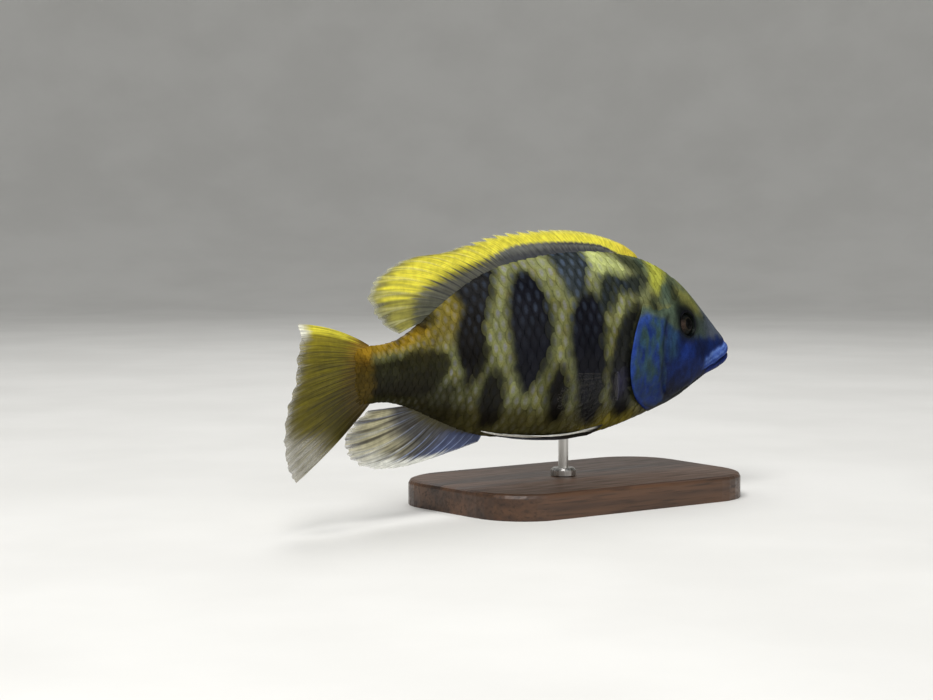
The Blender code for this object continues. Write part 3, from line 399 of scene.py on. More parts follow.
# Named colours, as display values from 0 to 255. pit is painted shade in the eye sockets, nostrils, pores, mouth line
# and gill slot; streak is a painted highlight on the upper lip; belly and chin are partly painted shade.
COLOURS = {
    "olive": (98, 99, 56), "straw": (136, 140, 94), "rust": (96, 80, 40), "ochre": (146, 138, 50),
    "leaf": (196, 204, 130), "gold": (120, 104, 34),
    "amber": (150, 120, 24), "nape": (170, 172, 68), "ridge": (116, 116, 62), "belly": (72, 67, 35),
    "belly_gold": (164, 150, 52), "lavender": (128, 128, 132), "navy": (19, 20, 27), "slate": (26, 28, 34),
    "umber": (18, 16, 14), "dusk": (32, 32, 33), "bark": (22, 19, 9), "moss": (27, 35, 30), "gill": (31, 51, 110),
    "teal": (50, 78, 88), "fern": (52, 72, 58), "rim": (36, 62, 146), "rim_light": (48, 78, 160),
    "cheek": (20, 39, 92), "deep": (14, 22, 50), "temple": (52, 82, 122), "ink": (28, 38, 56),
    "lore": (38, 42, 46), "armpit": (58, 56, 84), "shadow_green": (32, 38, 40),
    "lip": (41, 65, 144), "streak": (116, 149, 216), "lower_lip": (30, 44, 104), "chin": (13, 14, 18),
    "crown": (82, 97, 80), "snout": (74, 80, 94), "throat": (34, 33, 28), "pit": (15, 17, 19),
    "blue_spot": (54, 63, 78),
}

# Dark blotches on the flank: a line through each with its half width, in shares, and its strength
BLOTCHES = {
    "under_dorsal": (((0.455, 0.246, 0.030), (0.470, 0.226, 0.048), (0.477, 0.204, 0.042), (0.480, 0.182, 0.034),
                      (0.483, 0.160, 0.024), (0.485, 0.148, 0.010)), 0.90, "ink"),
    "middle": (((0.601, 0.186, 0.014), (0.603, 0.165, 0.033), (0.604, 0.142, 0.045), (0.606, 0.094, 0.055),
                (0.608, 0.050, 0.051), (0.613, 0.012, 0.044), (0.618, -0.022, 0.028),
                (0.619, -0.060, 0.009)), 1.0, "navy"),
    "rear_high": (((0.676, 0.206, 0.020), (0.704, 0.190, 0.036), (0.724, 0.160, 0.044), (0.728, 0.130, 0.030),
                   (0.740, 0.100, 0.028)), 1.0, "dusk"),
    "rear_low": (((0.740, 0.100, 0.027), (0.751, 0.066, 0.036), (0.752, 0.030, 0.040), (0.753, -0.002, 0.026),
                  (0.760, -0.034, 0.011)), 1.0, "umber"),
    "front": (((0.449, 0.134, 0.014), (0.456, 0.114, 0.038), (0.464, 0.085, 0.047), (0.470, 0.045, 0.048),
               (0.465, 0.005, 0.045), (0.460, -0.045, 0.040), (0.451, -0.096, 0.032),
               (0.444, -0.120, 0.024)), 1.0, "navy"),
    "shoulder_front": (((0.290, 0.172, 0.018), (0.310, 0.162, 0.022), (0.350, 0.160, 0.016)), 0.95, "shadow_green"),
    "shoulder_rear": (((0.350, 0.160, 0.016), (0.388, 0.165, 0.026), (0.396, 0.146, 0.026),
    (0.412, 0.122, 0.018)), 0.96, "shadow_green"),
    "behind_gill": (((0.318, 0.118, 0.012), (0.340, 0.090, 0.022), (0.360, 0.062, 0.027), (0.372, 0.030, 0.030),
                     (0.377, -0.010, 0.036), (0.370, -0.060, 0.037), (0.360, -0.094, 0.031)), 0.95, "navy"),
    "low_rear": (((0.698, -0.010, 0.010), (0.700, -0.036, 0.026), (0.700, -0.070, 0.034),
    (0.697, -0.108, 0.027)), 0.97, "umber"),
    "low_front": (((0.540, -0.010, 0.010), (0.540, -0.034, 0.023), (0.539, -0.066, 0.029),
    (0.534, -0.110, 0.021)), 1.0, "umber"),
    "dorsal_end": (((0.826, 0.116, 0.010), (0.841, 0.103, 0.013), (0.862, 0.089, 0.010)), 0.85, "umber"),
    "head_spot": (((0.271, 0.130, 0.012), (0.267, 0.112, 0.014)), 0.90, "moss"),
    "eye_bar": (((0.200, 0.154, 0.010), (0.195, 0.126, 0.015), (0.184, 0.098, 0.018)), 0.85, "moss"),
}
PEDUNCLE_PATCH = (
    (0.828, 0.012, 0.026), (0.860, -0.002, 0.044), (0.915, -0.012, 0.044), (0.965, -0.014, 0.038),
    (1.008, -0.010, 0.030),
)
GREEN_SPOT = ((0.292, 0.200, 0.018), (0.318, 0.214, 0.016), (0.330, 0.222, 0.010))
LEAF_PATCH = ((0.356, 0.196, 0.018), (0.386, 0.204, 0.030), (0.398, 0.222, 0.028))
NAPE_PATCH = ((0.216, 0.206, 0.028), (0.236, 0.184, 0.023), (0.256, 0.158, 0.015), (0.268, 0.140, 0.008))
RIDGE_PATCH = ((0.182, 0.134, 0.018), (0.149, 0.116, 0.022), (0.108, 0.094, 0.012))
GOLD_PATCH = ((0.760, 0.150, 0.020), (0.790, 0.116, 0.040), (0.840, 0.075, 0.036), (0.890, 0.046, 0.016))
AMBER_PATCH = ((0.860, 0.082, 0.012), (0.930, 0.054, 0.013), (1.000, 0.050, 0.016))
BELLY_GOLD_PATCH = ((0.305, -0.138, 0.012), (0.360, -0.134, 0.017), (0.440, -0.146, 0.018))
HEAD_BLUE_TOP = (
    (0.0, 0.034), (0.072, 0.034), (0.115, 0.038), (0.163, 0.041), (0.214, 0.060), (0.244, 0.081), (0.274, 0.090),
    (0.308, 0.085), (0.334, 0.070), (0.350, 0.050),
)
HEAD_BLUE_LOW = ((0.0, -0.028), (0.095, -0.052), (0.144, -0.068), (0.199, -0.094), (0.249, -0.108),
(0.311, -0.090), (0.350, -0.070))
GILL_RIM_LINE = ((0.296, 0.092), (0.325, 0.082), (0.345, 0.055), (0.353, 0.020), (0.352, -0.030), (0.340, -0.070))
SOFT_EDGE = 0.0125
HEAD_BLOTCHES = ("head_spot", "eye_bar", "shoulder_front")

# Front edge of the gill cover, as heights turned over and shares along the body
CHEEK_EDGE = ((-0.09, 0.0, 0.09), (0.232, 0.255, 0.225))

# Soft ovals of colour: their middle along and up, and their reach along and up
ARMPIT = (0.380, -0.052, 0.020, 0.020 / 0.7)
LORE = (0.120, 0.068, 0.026, 0.022)
CHEEK_LIGHT = (0.172, 0.008, 0.03, 0.022)
BEHIND_LIPS = (0.122, 0.014, 0.024, 0.030)
TEMPLE = (0.240, 0.050, 0.020, 0.032)

# Painted highlights along the upper lip: strength, distance from the mouth and width
LIP_GLEAMS = ((1.0, 0.0255, 0.0050), (0.8, 0.0150, 0.0035), (0.3, 0.0050, 0.0030))
WANDER = 0.0030


def linear(name):
    """A named colour, ready for a shader."""
    value = np.array(COLOURS[name]) / 255
    return np.where(value <= 0.04045, value / 12.92, ((value + 0.055) / 1.055) ** 2.4)


def over(tint, name, weight):
    """The tint with a named colour laid over it by the weight."""
    return blend(tint, linear(name), weight)


def blend(tint, colour, weight):
    """The tint with another colour laid over it by the weight."""
    weight = np.asarray(weight)[..., None]
    return tint * (1 - weight) + colour * weight


def ground(name, where):
    """A named colour at every place."""
    return np.broadcast_to(linear(name), (*np.shape(where), 3))


def layered(tint, layers):
    """The tint with named colours laid over it in turn, from (name, weight) pairs."""
    for name, weight in layers:
        tint = over(tint, name, weight)
    return tint


def wander(along, height, size, seed):
    """A smooth wave field from about -1 to 1, with patches of about that size."""
    total = 0.0
    for k in range(5):
        turn = seed * 1.7 + k * 2.4
        wave = 2 * math.pi * (0.7 + 0.35 * k) / size
        run = along * math.cos(turn) + height * math.sin(turn)
        total = total + np.sin(wave * run + seed * 5.1 * (k + 1)) / (1 + 0.4 * k)
    return total / 2.4


def marked(stroke, along, height, soft=SOFT_EDGE):
    """1 inside a stroke of changing width, 0 outside and smooth between."""
    nearest = np.full(np.shape(along), np.inf)
    for s, z, half in curve_at(stroke, np.linspace(0, 1, 20)):
        nearest = np.minimum(nearest, np.hypot(along - s, height - z) - half)
    return ease(0.5 - nearest / (2 * soft))


def glow(along, height, place):
    """1 in the middle of an oval, given as its middle and its reach along and up, and falling to 0 round it."""
    middle, up, reach_along, reach_up = place
    return bell(np.hypot((along - middle) / reach_along, (height - up) / reach_up))


def behind_cheek(along, height):
    """1 on the gill cover and 0 on the cheek before it."""
    return ease((along - np.interp(-height, *CHEEK_EDGE)) / 0.010 + 0.5)


def paint_flank(along, height):
    """Colour of the body behind the head, the strength of its dark blotches and of the pale scale spots."""
    def field(size, seed):
        return wander(along, height, size, seed)

    def inside(stroke, soft=SOFT_EDGE):
        return marked(stroke, along, height, soft)

    # low: the lower body, in the belly colour, which is partly the belly's own olive-brown and partly painted shade,
    # darker towards the bottom
    low = ease((-0.070 - height + 0.10 * np.clip(along - 0.58, 0, 0.2)) / 0.050)
    rear_low = ease((along - 0.69) / 0.12) * ease((0.004 - 0.25 * np.clip(0.80 - along, 0, 1) - height) / 0.05)
    top_of_stock = ease((along - 0.795) / 0.03) * ease((height - 0.022) / 0.016) * ease((0.985 - along) / 0.04)
    gold, amber = inside(GOLD_PATCH, 0.03), inside(AMBER_PATCH, 0.010)
    patch, green = 0.92 * inside(PEDUNCLE_PATCH, 0.011), 0.85 * inside(GREEN_SPOT)
    tint = layered(ground("olive", along), (
        ("straw", 0.55 + 0.40 * field(0.10, 2.0)),
        ("straw", 0.5 * ease((height - 0.12) / 0.07)),
        ("rust", 0.35 * ease(field(0.045, 13.0) * 1.4 - 0.2)),
        ("ochre", 0.35 * ease(field(0.030, 15.0) * 1.4 - 0.3)),
        ("gold", 0.85 * gold),
        ("leaf", 0.9 * inside(LEAF_PATCH, 0.012)),
        # the belly's own colour, partly painted shade
        ("belly", 0.90 * low),
        ("belly_gold", 0.62 * inside(BELLY_GOLD_PATCH, 0.03)),
        ("bark", 0.88 * rear_low),
        ("amber", 0.95 * amber),
        ("umber", 0.62 * top_of_stock * ease(1.5 * field(0.026, 21.0) - 0.15)),
    ))
    dark = np.maximum(patch, green)
    for stroke, strength, name in BLOTCHES.values():
        blotch = strength * inside(stroke)
        dark = np.maximum(dark, blotch)
        tint = over(tint, name, blotch)
    tint = layered(tint, (("armpit", 0.75 * glow(along, height, ARMPIT)), ("bark", patch), ("moss", green)))
    on_fin = ease((along - 0.986 + 0.008 * field(0.03, 17.0)) / 0.026)
    share = (CAUDAL_ROOT[0] - height) / (CAUDAL_ROOT[0] - CAUDAL_ROOT[1])
    past_root = np.clip(along - CAUDAL_ROOT_AT, 0, 1)
    fan = (share - 0.5) / (1 + 3.0 * past_root) + 0.5
    tint = blend(tint, paint_caudal(np.clip(fan, 0, 1), np.clip(past_root / 0.23, 0, 1), 0.0)[0], on_fin)
    spots = (1 - 0.85 * low) * (1 - 0.85 * rear_low) * (1 - 0.5 * inside(LEAF_PATCH, 0.02))
    spots = spots * (1 - 0.5 * patch) * (1 - 0.55 * gold) * (1 - 0.8 * amber)
    spots = spots * (0.80 + 0.35 * field(0.09, 5.0)) * ease((along - 0.30) / 0.06)
    return tint, dark * (1 - on_fin), np.clip(spots, 0, 1) * (1 - ease((along - 0.95) / 0.05))


def paint_head(along, height):
    """Colour of the head: blue gill cover, cheek and lips below an olive crown."""
    def field(size, seed, along_by=1.0, height_by=1.0):
        return wander(along_by * along, height_by * height, size, seed)

    blue_top = smooth(HEAD_BLUE_TOP, along) + 0.005 * field(0.05, 1.0)
    blue_low = smooth(HEAD_BLUE_LOW, along) + 0.004 * field(0.05, 3.0)
    blue = ease((blue_top - height) / 0.022 + 0.5) * ease((height - blue_low) / 0.018 + 0.5)
    cover = behind_cheek(along, height)
    blue_cheek, blue_cover = blue * (1 - cover), blue * cover
    middle = ease((height + 0.070) / 0.05)
    before_cover = bell((along - 0.226 + 0.10 * height) / 0.016) * ease((height + 0.02) / 0.04)
    from_rim = distance_to_line(GILL_RIM_LINE, along, height)
    from_mouth = distance_to_line(MOUTH_LINE[1:], along, height)
    above = height > smooth(MOUTH_LINE, along)
    lip = ease((0.037 - from_mouth) / 0.010) * (1 - ease((along - 0.095) / 0.02)) * above
    # gleam: where the painted highlights along the upper lip lie
    gleam = sum(ridge(from_mouth, *line) for line in LIP_GLEAMS)
    chin = ease((blue_low + 0.012 - height) / 0.012 + 0.5) * ease((0.13 - along) / 0.03)
    tint = layered(ground("crown", along), (
        ("ridge", ease(0.5 + 0.9 * field(0.06, 6.0)) * 0.6 * ease((height - 0.10) / 0.03)),
        ("ridge", marked(RIDGE_PATCH, along, height, 0.012)),
        ("snout", ease((0.125 - along) / 0.04) * 0.9),
        ("lore", 0.75 * glow(along, height, LORE)),
        ("nape", marked(NAPE_PATCH, along, height, 0.010)),
        ("throat", ease((blue_low - height) / 0.016 + 0.5)),
        ("cheek", blue),
        ("deep", 0.6 * blue_cheek * ease(0.45 + 1.1 * field(0.030, 8.0, 1.0, 0.7))),
        ("rim", 0.35 * blue * glow(along, height, CHEEK_LIGHT)),
        ("deep", 0.75 * glow(along, height, BEHIND_LIPS)),
        # near black on the lower cheek, darker towards the bottom: partly the head's own dark colour, partly painted
        # shade on the faces turned down
        ("chin", 0.85 * blue_cheek * ease((-0.036 - height) / 0.042)),
        ("teal", 0.65 * blue_cheek * before_cover),
        ("gill", blue_cover),
        ("teal", 0.80 * blue_cover * ease(field(0.030, 7.0, 1.0, 0.40) * 0.9 + 0.55) * middle),
        ("fern", 0.60 * blue_cover * ease(field(0.024, 9.0, 1.0, 0.45) * 1.1 + 0.25) * middle),
        ("rim", 0.35 * blue_cover * ease(field(0.022, 12.0, 1.2, 0.45) * 1.4 - 0.3)),
        ("rim_light", 0.80 * bell(from_rim / 0.009) * ease((height + 0.060) / 0.09)),
        ("temple", 0.70 * blue_cheek * glow(along, height, TEMPLE)),
        ("lip", 0.85 * lip),
        # painted highlight along the upper lip
        ("streak", 0.72 * lip * gleam.clip(0, 1) * (0.7 + 0.3 * field(0.012, 3.0)).clip(0, 1)),
        # near black on the chin and under the mouth: partly the head's own dark colour, partly painted shade
        ("chin", 0.9 * np.maximum(chin, ~above * ease((0.11 - along) / 0.02))),
        ("lower_lip", 0.85 * ~above * ease((0.021 - from_mouth) / 0.010) * ease((0.100 - along) / 0.02)),
        # painted shade in the mouth's groove
        ("pit", 0.85 * bell(from_mouth / 0.0022) * ease((0.104 - along) / 0.006)),
        # painted shade along the cheek's groove
        ("navy", 0.65 * bell(distance_to_line(CHEEK_LINE, along, height) / 0.009)),
    ))
    for stroke, strength, name in (BLOTCHES[key] for key in HEAD_BLOTCHES):
        tint = over(tint, name, strength * marked(stroke, along, height))
    tint = over(tint, "moss", 0.85 * marked(GREEN_SPOT, along, height))
    # painted shade in the pores
    for place in PORES:
        tint = over(tint, "pit", 0.5 * bell(np.hypot(along - place[0], height - place[1]) / 0.0022))
    return tint


def paint_flecks(points, behind):
    """Colour and strength of the fine flecks on the skin of the head."""
    along, height = points[..., 0] / LENGTH, points[..., 2] / LENGTH
    inside = ease((smooth(HEAD_BLUE_TOP, along) - height) / 0.02 + 0.5)
    inside = inside * ease((height - smooth(HEAD_BLUE_LOW, along)) / 0.02 + 0.5)
    cover = behind_cheek(along, height)
    tint = layered(ground("moss", along), (("deep", inside), ("fern", inside * cover)))
    strength = 0.30 * (1 - inside) + inside * (0.40 - 0.05 * cover)
    strength = strength * ~behind * (1 - ease((0.10 - along) / 0.04))
    return np.concatenate([tint, strength[..., None]], axis=-1)


def paint(points, behind):
    """(colour, blotch strength, scale spots) at the straight fish's points."""
    along, height = points[..., 0] / LENGTH, points[..., 2] / LENGTH
    along = along + WANDER * wander(along, height, 0.030, 1.0)
    height = height + WANDER * wander(along, height, 0.030, 4.0)
    tint, dark, spots = paint_flank(along, height)
    on_nape = ease((height - 0.108) / 0.012)
    forward = ease((0.300 - along - 0.4 * (0.20 - height)) / 0.030)
    weight = np.where(behind, on_nape * forward, 1 - on_nape * (1 - forward))
    close = weight > 0
    face = paint_head(along[close], height[close])
    near = points[close]
    # Painted shade round the eye socket, reaching further above and behind the eye, and painted shade in the nostril
    eye = from_axis(EYE_PLACE, near)
    above_eye = np.clip((near[..., 2] / LENGTH - EYE_PLACE[1]) / 0.03, -1, 1)
    behind_eye = np.clip((near[..., 0] / LENGTH - EYE_PLACE[0]) / 0.03, -1, 1)
    face = over(face, "pit", 0.92 * ease((EYE_RADIUS + 5.0 + 1.0 * above_eye + 0.4 * behind_eye - eye) / 5.0))
    face = over(face, "pit", 0.9 * bell(from_axis(NOSTRIL_PLACE, near) / 0.7))
    tint[close] = blend(tint[close], face, weight[close])
    return tint, dark * (1 - weight), spots * (1 - weight)


# ---- materials

NOISE_RANGE = (0.3, 0.7)
WOOD_DARK, WOOD_LIGHT, WOOD_PORE = (0.034, 0.015, 0.007, 1), (0.105, 0.047, 0.020, 1), (0.012, 0.006, 0.003, 1)
STEEL_DARK, STEEL_LIGHT = (0.50, 0.49, 0.47, 1), (0.66, 0.64, 0.61, 1)
FLOOR_DARK, FLOOR_LIGHT = (0.70, 0.69, 0.66, 1), (0.75, 0.74, 0.71, 1)


class Look:
    """A Principled material, with short calls for the nodes that make it."""

    def __init__(self, name, roughness, coat=0.0, coat_roughness=0.1, metallic=0.0, specular=0.5):
        self.material = bpy.data.materials.new(name)
        self.material.use_nodes = True
        self.tree = self.material.node_tree
        self.shader = self.tree.nodes["Principled BSDF"]
        self.normal = None
        for key, value in (("Roughness", roughness), ("Coat Weight", coat), ("Coat Roughness", coat_roughness),
                           ("Metallic", metallic), ("Specular IOR Level", specular)):
            self.shader.inputs[key].default_value = value

    def node(self, kind, inputs, **settings):
        """The outputs of a new node with its settings, its inputs set to values or linked to other outputs."""
        node = self.tree.nodes.new("ShaderNode" + kind)
        for key, value in settings.items():
            setattr(node, key, value)
        for key, value in inputs.items():
            if isinstance(value, bpy.types.NodeSocket):
                self.tree.links.new(value, node.inputs[key])
            else:
                node.inputs[key].default_value = value
        return node.outputs

    def link(self, key, value):
        """One of the shader's own inputs, fed by another node."""
        self.tree.links.new(value, self.shader.inputs[key])

    def calc(self, operation, *values):
        return self.node("Math", dict(enumerate(values)), operation=operation)[0]

    def times(self, first, *others):
        for other in others:
            first = self.calc("MULTIPLY", first, other)
        return first

    def mix(self, factor, first, second, blend_type="MIX"):
        return self.node("Mix", {0: factor, 6: first, 7: second}, data_type="RGBA", blend_type=blend_type)[2]

    def spread(self, value, low, high, to_low=0.0, to_high=1.0):
        """The value run from one range to another, smooth at both ends and held there."""
        inputs = dict(enumerate((value, low, high, to_low, to_high)))
        return self.node("MapRange", inputs, interpolation_type="SMOOTHSTEP")[0]

    def attribute(self, name, output="Color"):
        return self.node("Attribute", {}, attribute_name=name)[output]

    def parts(self, name):
        """The three numbers of a vector attribute."""
        return self.node("SeparateXYZ", {0: self.attribute(name, "Vector")})

    def noise(self, scale, detail=3.0, stretch=(1, 1, 1), seed=0.0, where=None):
        """Noise from the piece's own coordinates or others, in patches of about 1/scale."""
        if where is None:
            where = self.node("TexCoord", {})["Object"]
        where = self.node("Mapping", {0: where, 1: (seed, seed, seed), 3: stretch})[0]
        return self.node("TexNoise", {"Vector": where, "Scale": scale, "Detail": detail})[0]

    def shaded(self, tint, factor):
        """The tint made darker or lighter by a factor."""
        grey = self.node("CombineColor", {0: factor, 1: factor, 2: factor})[0]
        return self.mix(1.0, tint, grey, "MULTIPLY")

    def vary(self, tint, scale, low, high, seed=0.0):
        """The tint made darker and lighter in patches."""
        return self.shaded(tint, self.spread(self.noise(scale, 4.0, seed=seed), *NOISE_RANGE, low, high))

    def roughen(self, value, low, high):
        """Roughness that follows a noise between two levels."""
        self.link("Roughness", self.spread(value, *NOISE_RANGE, low, high))

    def bump(self, height, distance, strength=0.5):
        """Fine relief, over the relief of the calls before it."""
        inputs = {"Height": height, "Distance": distance, "Strength": strength}
        if self.normal is not None:
            inputs["Normal"] = self.normal
        self.normal = self.node("Bump", inputs)[0]
        self.link("Normal", self.normal)


def skin_material():
    """Satin paint with fine flecks and pores."""
    look = Look("skin_paint", 0.42, coat=0.14, coat_roughness=0.28, specular=0.0)
    where = look.spread(look.noise(380.0, 4.0, (1.4, 1.4, 0.45)), 0.40, 0.66)
    flecks = look.times(where, look.attribute("fleck", "Alpha"))
    tint = look.mix(flecks, look.attribute("tint"), look.attribute("fleck"))
    tint = look.vary(tint, 260.0, 0.80, 1.18)
    look.link("Base Color", look.vary(tint, 1500.0, 0.86, 1.12, seed=3.0))
    look.roughen(look.noise(700.0), 0.28, 0.48)
    look.bump(look.noise(2600.0, 2.0), 0.00012, 0.6)
    look.bump(look.noise(500.0), 0.00035)
    return look.material


def scale_material():
    """Each scale has a pale spot over its ground colour, fine growth rings, painted shade darkening its root where it
    lies under the scale before it, and a darker free edge.
    """
    look = Look("scale_paint", 0.38, coat=0.18, coat_roughness=0.24, specular=0.0)
    across, along, grey = look.parts("plate")[:3]
    across = look.calc("POWER", look.calc("DIVIDE", look.calc("ABSOLUTE", across), 0.40), 2.0)
    from_middle = look.calc("DIVIDE", look.calc("SUBTRACT", along, 0.72), 0.115)
    outward = look.calc("ADD", across, look.calc("POWER", look.calc("ABSOLUTE", from_middle), 2.0))
    ragged = look.times(look.calc("SUBTRACT", look.noise(900.0), 0.5), 2.4)
    spot = look.spread(look.calc("ADD", outward, ragged), 2.4, -0.2)
    tint = look.mix(look.times(spot, look.attribute("spot", "Alpha")), look.attribute("tint"), look.attribute("spot"))
    # painted shade towards the root, where the scale lies under the one before it
    root = look.spread(along, 0.30, 0.62, 0.74, 1.0)
    edge = look.spread(along, 0.84, 1.0, 1.0, 0.86)
    tint = look.shaded(tint, look.times(root, edge, look.spread(grey, 0.0, 1.0, 0.80, 1.18)))
    look.link("Base Color", look.vary(tint, 1200.0, 0.88, 1.10))
    look.roughen(look.noise(800.0), 0.26, 0.44)
    look.bump(look.calc("SINE", look.times(look.calc("SQRT", outward), 26.0)), 0.00003)
    look.bump(look.noise(1800.0, 2.0), 0.00010)
    return look.material


def fin_material(name, streaks, fray=0.0, depth=0.30):
    """Thin fins: tinted webs that light shines through, fine streaks along the rays and joints across them."""
    look = Look(name, 0.45, coat=0.05, coat_roughness=0.25, specular=0.25)
    row, ray = look.parts("fin")[1:3]
    fine = look.noise(1.0, 3.0, (streaks, 2.2, 0.0), where=look.attribute("fin", "Vector"))
    joints = look.times(look.calc("SINE", look.times(row, 260.0)), ray)
    dark = look.spread(fine, 0.34, 0.66, 1 - depth, 1 + 0.55 * depth)
    dark = look.times(dark, look.spread(joints, 0.2, 1.0, 1.0, 0.88))
    look.link("Base Color", look.shaded(look.vary(look.attribute("tint"), 420.0, 0.88, 1.10), dark))
    worn = look.times(look.spread(row, 0.86, 1.0), look.spread(fine, 0.40, 0.62, fray, 0.0))
    look.link("Alpha", look.times(look.attribute("tint", "Alpha"), look.calc("SUBTRACT", 1.0, worn)))
    look.bump(joints, 0.00004)
    look.bump(fine, 0.00012)
    return look.material


def eye_material():
    """Glossy eye with fine streaks in the iris."""
    look = Look("eye_gloss", 0.15, coat=0.12, coat_roughness=0.03, specular=0.0)
    streaks = look.noise(1.0, 4.0, where=look.attribute("eye", "Vector"))
    factor = look.spread(streaks, *NOISE_RANGE, 0.6, 1.35)
    look.link("Base Color", look.shaded(look.attribute("tint"), factor))
    return look.material


def wood_material():
    """Dark oiled wood with grain along the base."""
    look = Look("oiled_wood", 0.42, coat=0.12, coat_roughness=0.3)
    broad = look.noise(60.0, 3.0, (0.10, 1, 1))
    grain = look.noise(260.0, 4.0, (0.05, 1, 1), seed=2.0)
    pores = look.noise(900.0, 2.0, (0.06, 1, 1))
    both = look.calc("ADD", look.times(broad, 0.55), look.times(grain, 0.45))
    tint = look.mix(look.spread(both, 0.36, 0.64), WOOD_DARK, WOOD_LIGHT)
    look.link("Base Color", look.mix(look.spread(pores, 0.50, 0.72, 0.0, 0.65), tint, WOOD_PORE))
    look.roughen(pores, 0.34, 0.55)
    look.bump(look.calc("SUBTRACT", look.times(grain, 0.6), pores), 0.00018, 0.45)
    return look.material


def steel_material():
    """Satin steel, brushed round the rod."""
    look = Look("brushed_steel", 0.30, metallic=1.0)
    lines = look.noise(700.0, 2.0, (1, 1, 0.03))
    look.link("Base Color", look.mix(look.spread(lines, *NOISE_RANGE), STEEL_DARK, STEEL_LIGHT))
    look.roughen(lines, 0.22, 0.40)
    look.bump(lines, 0.00003, 0.4)
    return look.material


def floor_material():
    """Pale and matt, with a faint unevenness."""
    look = Look("pale_floor", 0.75, specular=0.25)
    uneven = look.spread(look.noise(9.0, 4.0), *NOISE_RANGE)
    look.link("Base Color", look.mix(uneven, FLOOR_DARK, FLOOR_LIGHT))
    return look.material

# ---- skin

AROUND = 232
HEAD_RINGS = 150
BODY_RINGS = 150
SNOUT_RINGS = (0.0010, 0.0032, 0.0062, 0.0100)
FIRST_EVEN_RING = 0.0140
FLAP_SPAN = (-0.0020, 0.0026)
FLAP_RINGS = (
    # place behind the opening's station, pull forward, sideways step in millimetres, on the skin behind it
    (0.0000, 0.0, 0.60, False), (0.0006, -0.0010, 0.38, False), (0.0010, 0.0, 0.12, False),
    (0.0014, 0.008, 0.02, False), (0.0018, 0.009, -0.80, True), (0.0022, 0.006, -0.90, True),
)
FLESH = ("head", "lower_jaw", "gill_cover_left", "gill_cover_right", "torso_front", "torso_rear", "tail_stock")
UNWRAP_LENGTH = 1.1


def along_mouth(station, angle):
    """The angle round the body, drawn out near the snout so that lines of points run along the mouth."""
    blunt = np.sqrt(1 - (1 - np.clip(station / SNOUT_ROUNDING, 0, 1)) ** 2)
    rise = smooth(MOUTH_LINE, station) - smooth(WIDEST_HEIGHT, station)
    edge = np.where(rise > 0, smooth(BACK, station), smooth(BELLY, station)) - smooth(WIDEST_HEIGHT, station)
    power = np.where(rise > 0, smooth(BACK_ROUNDNESS, station), smooth(BELLY_ROUNDNESS, station))
    mouth = np.arccos(np.sign(rise) * np.clip(rise / (edge * blunt), 0, 0.9) ** (power / 2))
    mouth = math.pi / 2 + (mouth - math.pi / 2) * (1 - ease((station - 0.10) / 0.045))
    half = np.where(angle > math.pi, 2 * math.pi - angle, angle)
    share = half / (math.pi / 2)
    half = np.where(share < 1, mouth * share, math.pi - (math.pi - mouth) * (2 - share))
    return np.where(angle > math.pi, 2 * math.pi - half, half)


def warped(station, angle):
    """Share along the body of a ring's points, which near the gill opening follow its edge."""
    shift = smooth(GILL_EDGE, turned_from_back(angle)) - GILL_STATION
    before = ease((station - GILL_WARP_FROM) / (GILL_STATION - GILL_WARP_FROM))
    after = 1 - ease((station - GILL_STATION) / (GILL_WARP_TO - GILL_STATION))
    rounded = TAIL_CURVE * np.cos(angle) ** 2 * ease((station - 0.93) / (TAIL_END - 0.93))
    return station + shift * np.where(station <= GILL_STATION, before, after) - rounded


def scaled_share(points, behind):
    """1 where scales cover the skin and 0 where it is bare."""
    along, height = points[..., 0] / LENGTH, points[..., 2] / LENGTH
    nape = ease((height - smooth(NAPE_LOW, along)) / 0.006) * ease((along - 0.165) / 0.01)
    return np.where(behind, 1.0, nape)


def skin_rings():
    """Station, pull forward, sideways step and place behind the opening of each ring, from the snout back."""
    head = np.linspace(FIRST_EVEN_RING, GILL_STATION + FLAP_SPAN[0], HEAD_RINGS)
    body = np.linspace(GILL_STATION + FLAP_SPAN[1], TAIL_END, BODY_RINGS)
    rings = [(s, 0.0, np.nan, False) for s in (*SNOUT_RINGS, *head)]
    rings += [(GILL_STATION + back, *rest) for back, *rest in FLAP_RINGS]
    rings += [(s, 0.0, np.nan, True) for s in body]
    return np.array(rings, float).T[:, :, None]


def paint_gill_opening(tint, z, along, angle, behind):
    """The tint with a blue rim along the gill cover's edge and painted shade in the slot behind it."""
    window = gill_window(angle)
    before_edge = (smooth(GILL_EDGE, turned_from_back(angle)) - along) * LENGTH
    below_top = ease((smooth(HEAD_BLUE_TOP, along) + 0.010 - z / LENGTH) / 0.014)
    uneven = 0.8 * np.sin(z / 1.3 + 2 * np.sin(z / 3.1))
    rim = ease((2.6 - before_edge + uneven) / 1.6) * window * ~behind * below_top
    # painted shade in the slot behind the gill cover's edge
    slot = (behind & (before_edge > -0.3)) * window
    return layered(tint, (("rim", 0.65 * rim), ("pit", 0.85 * slot)))


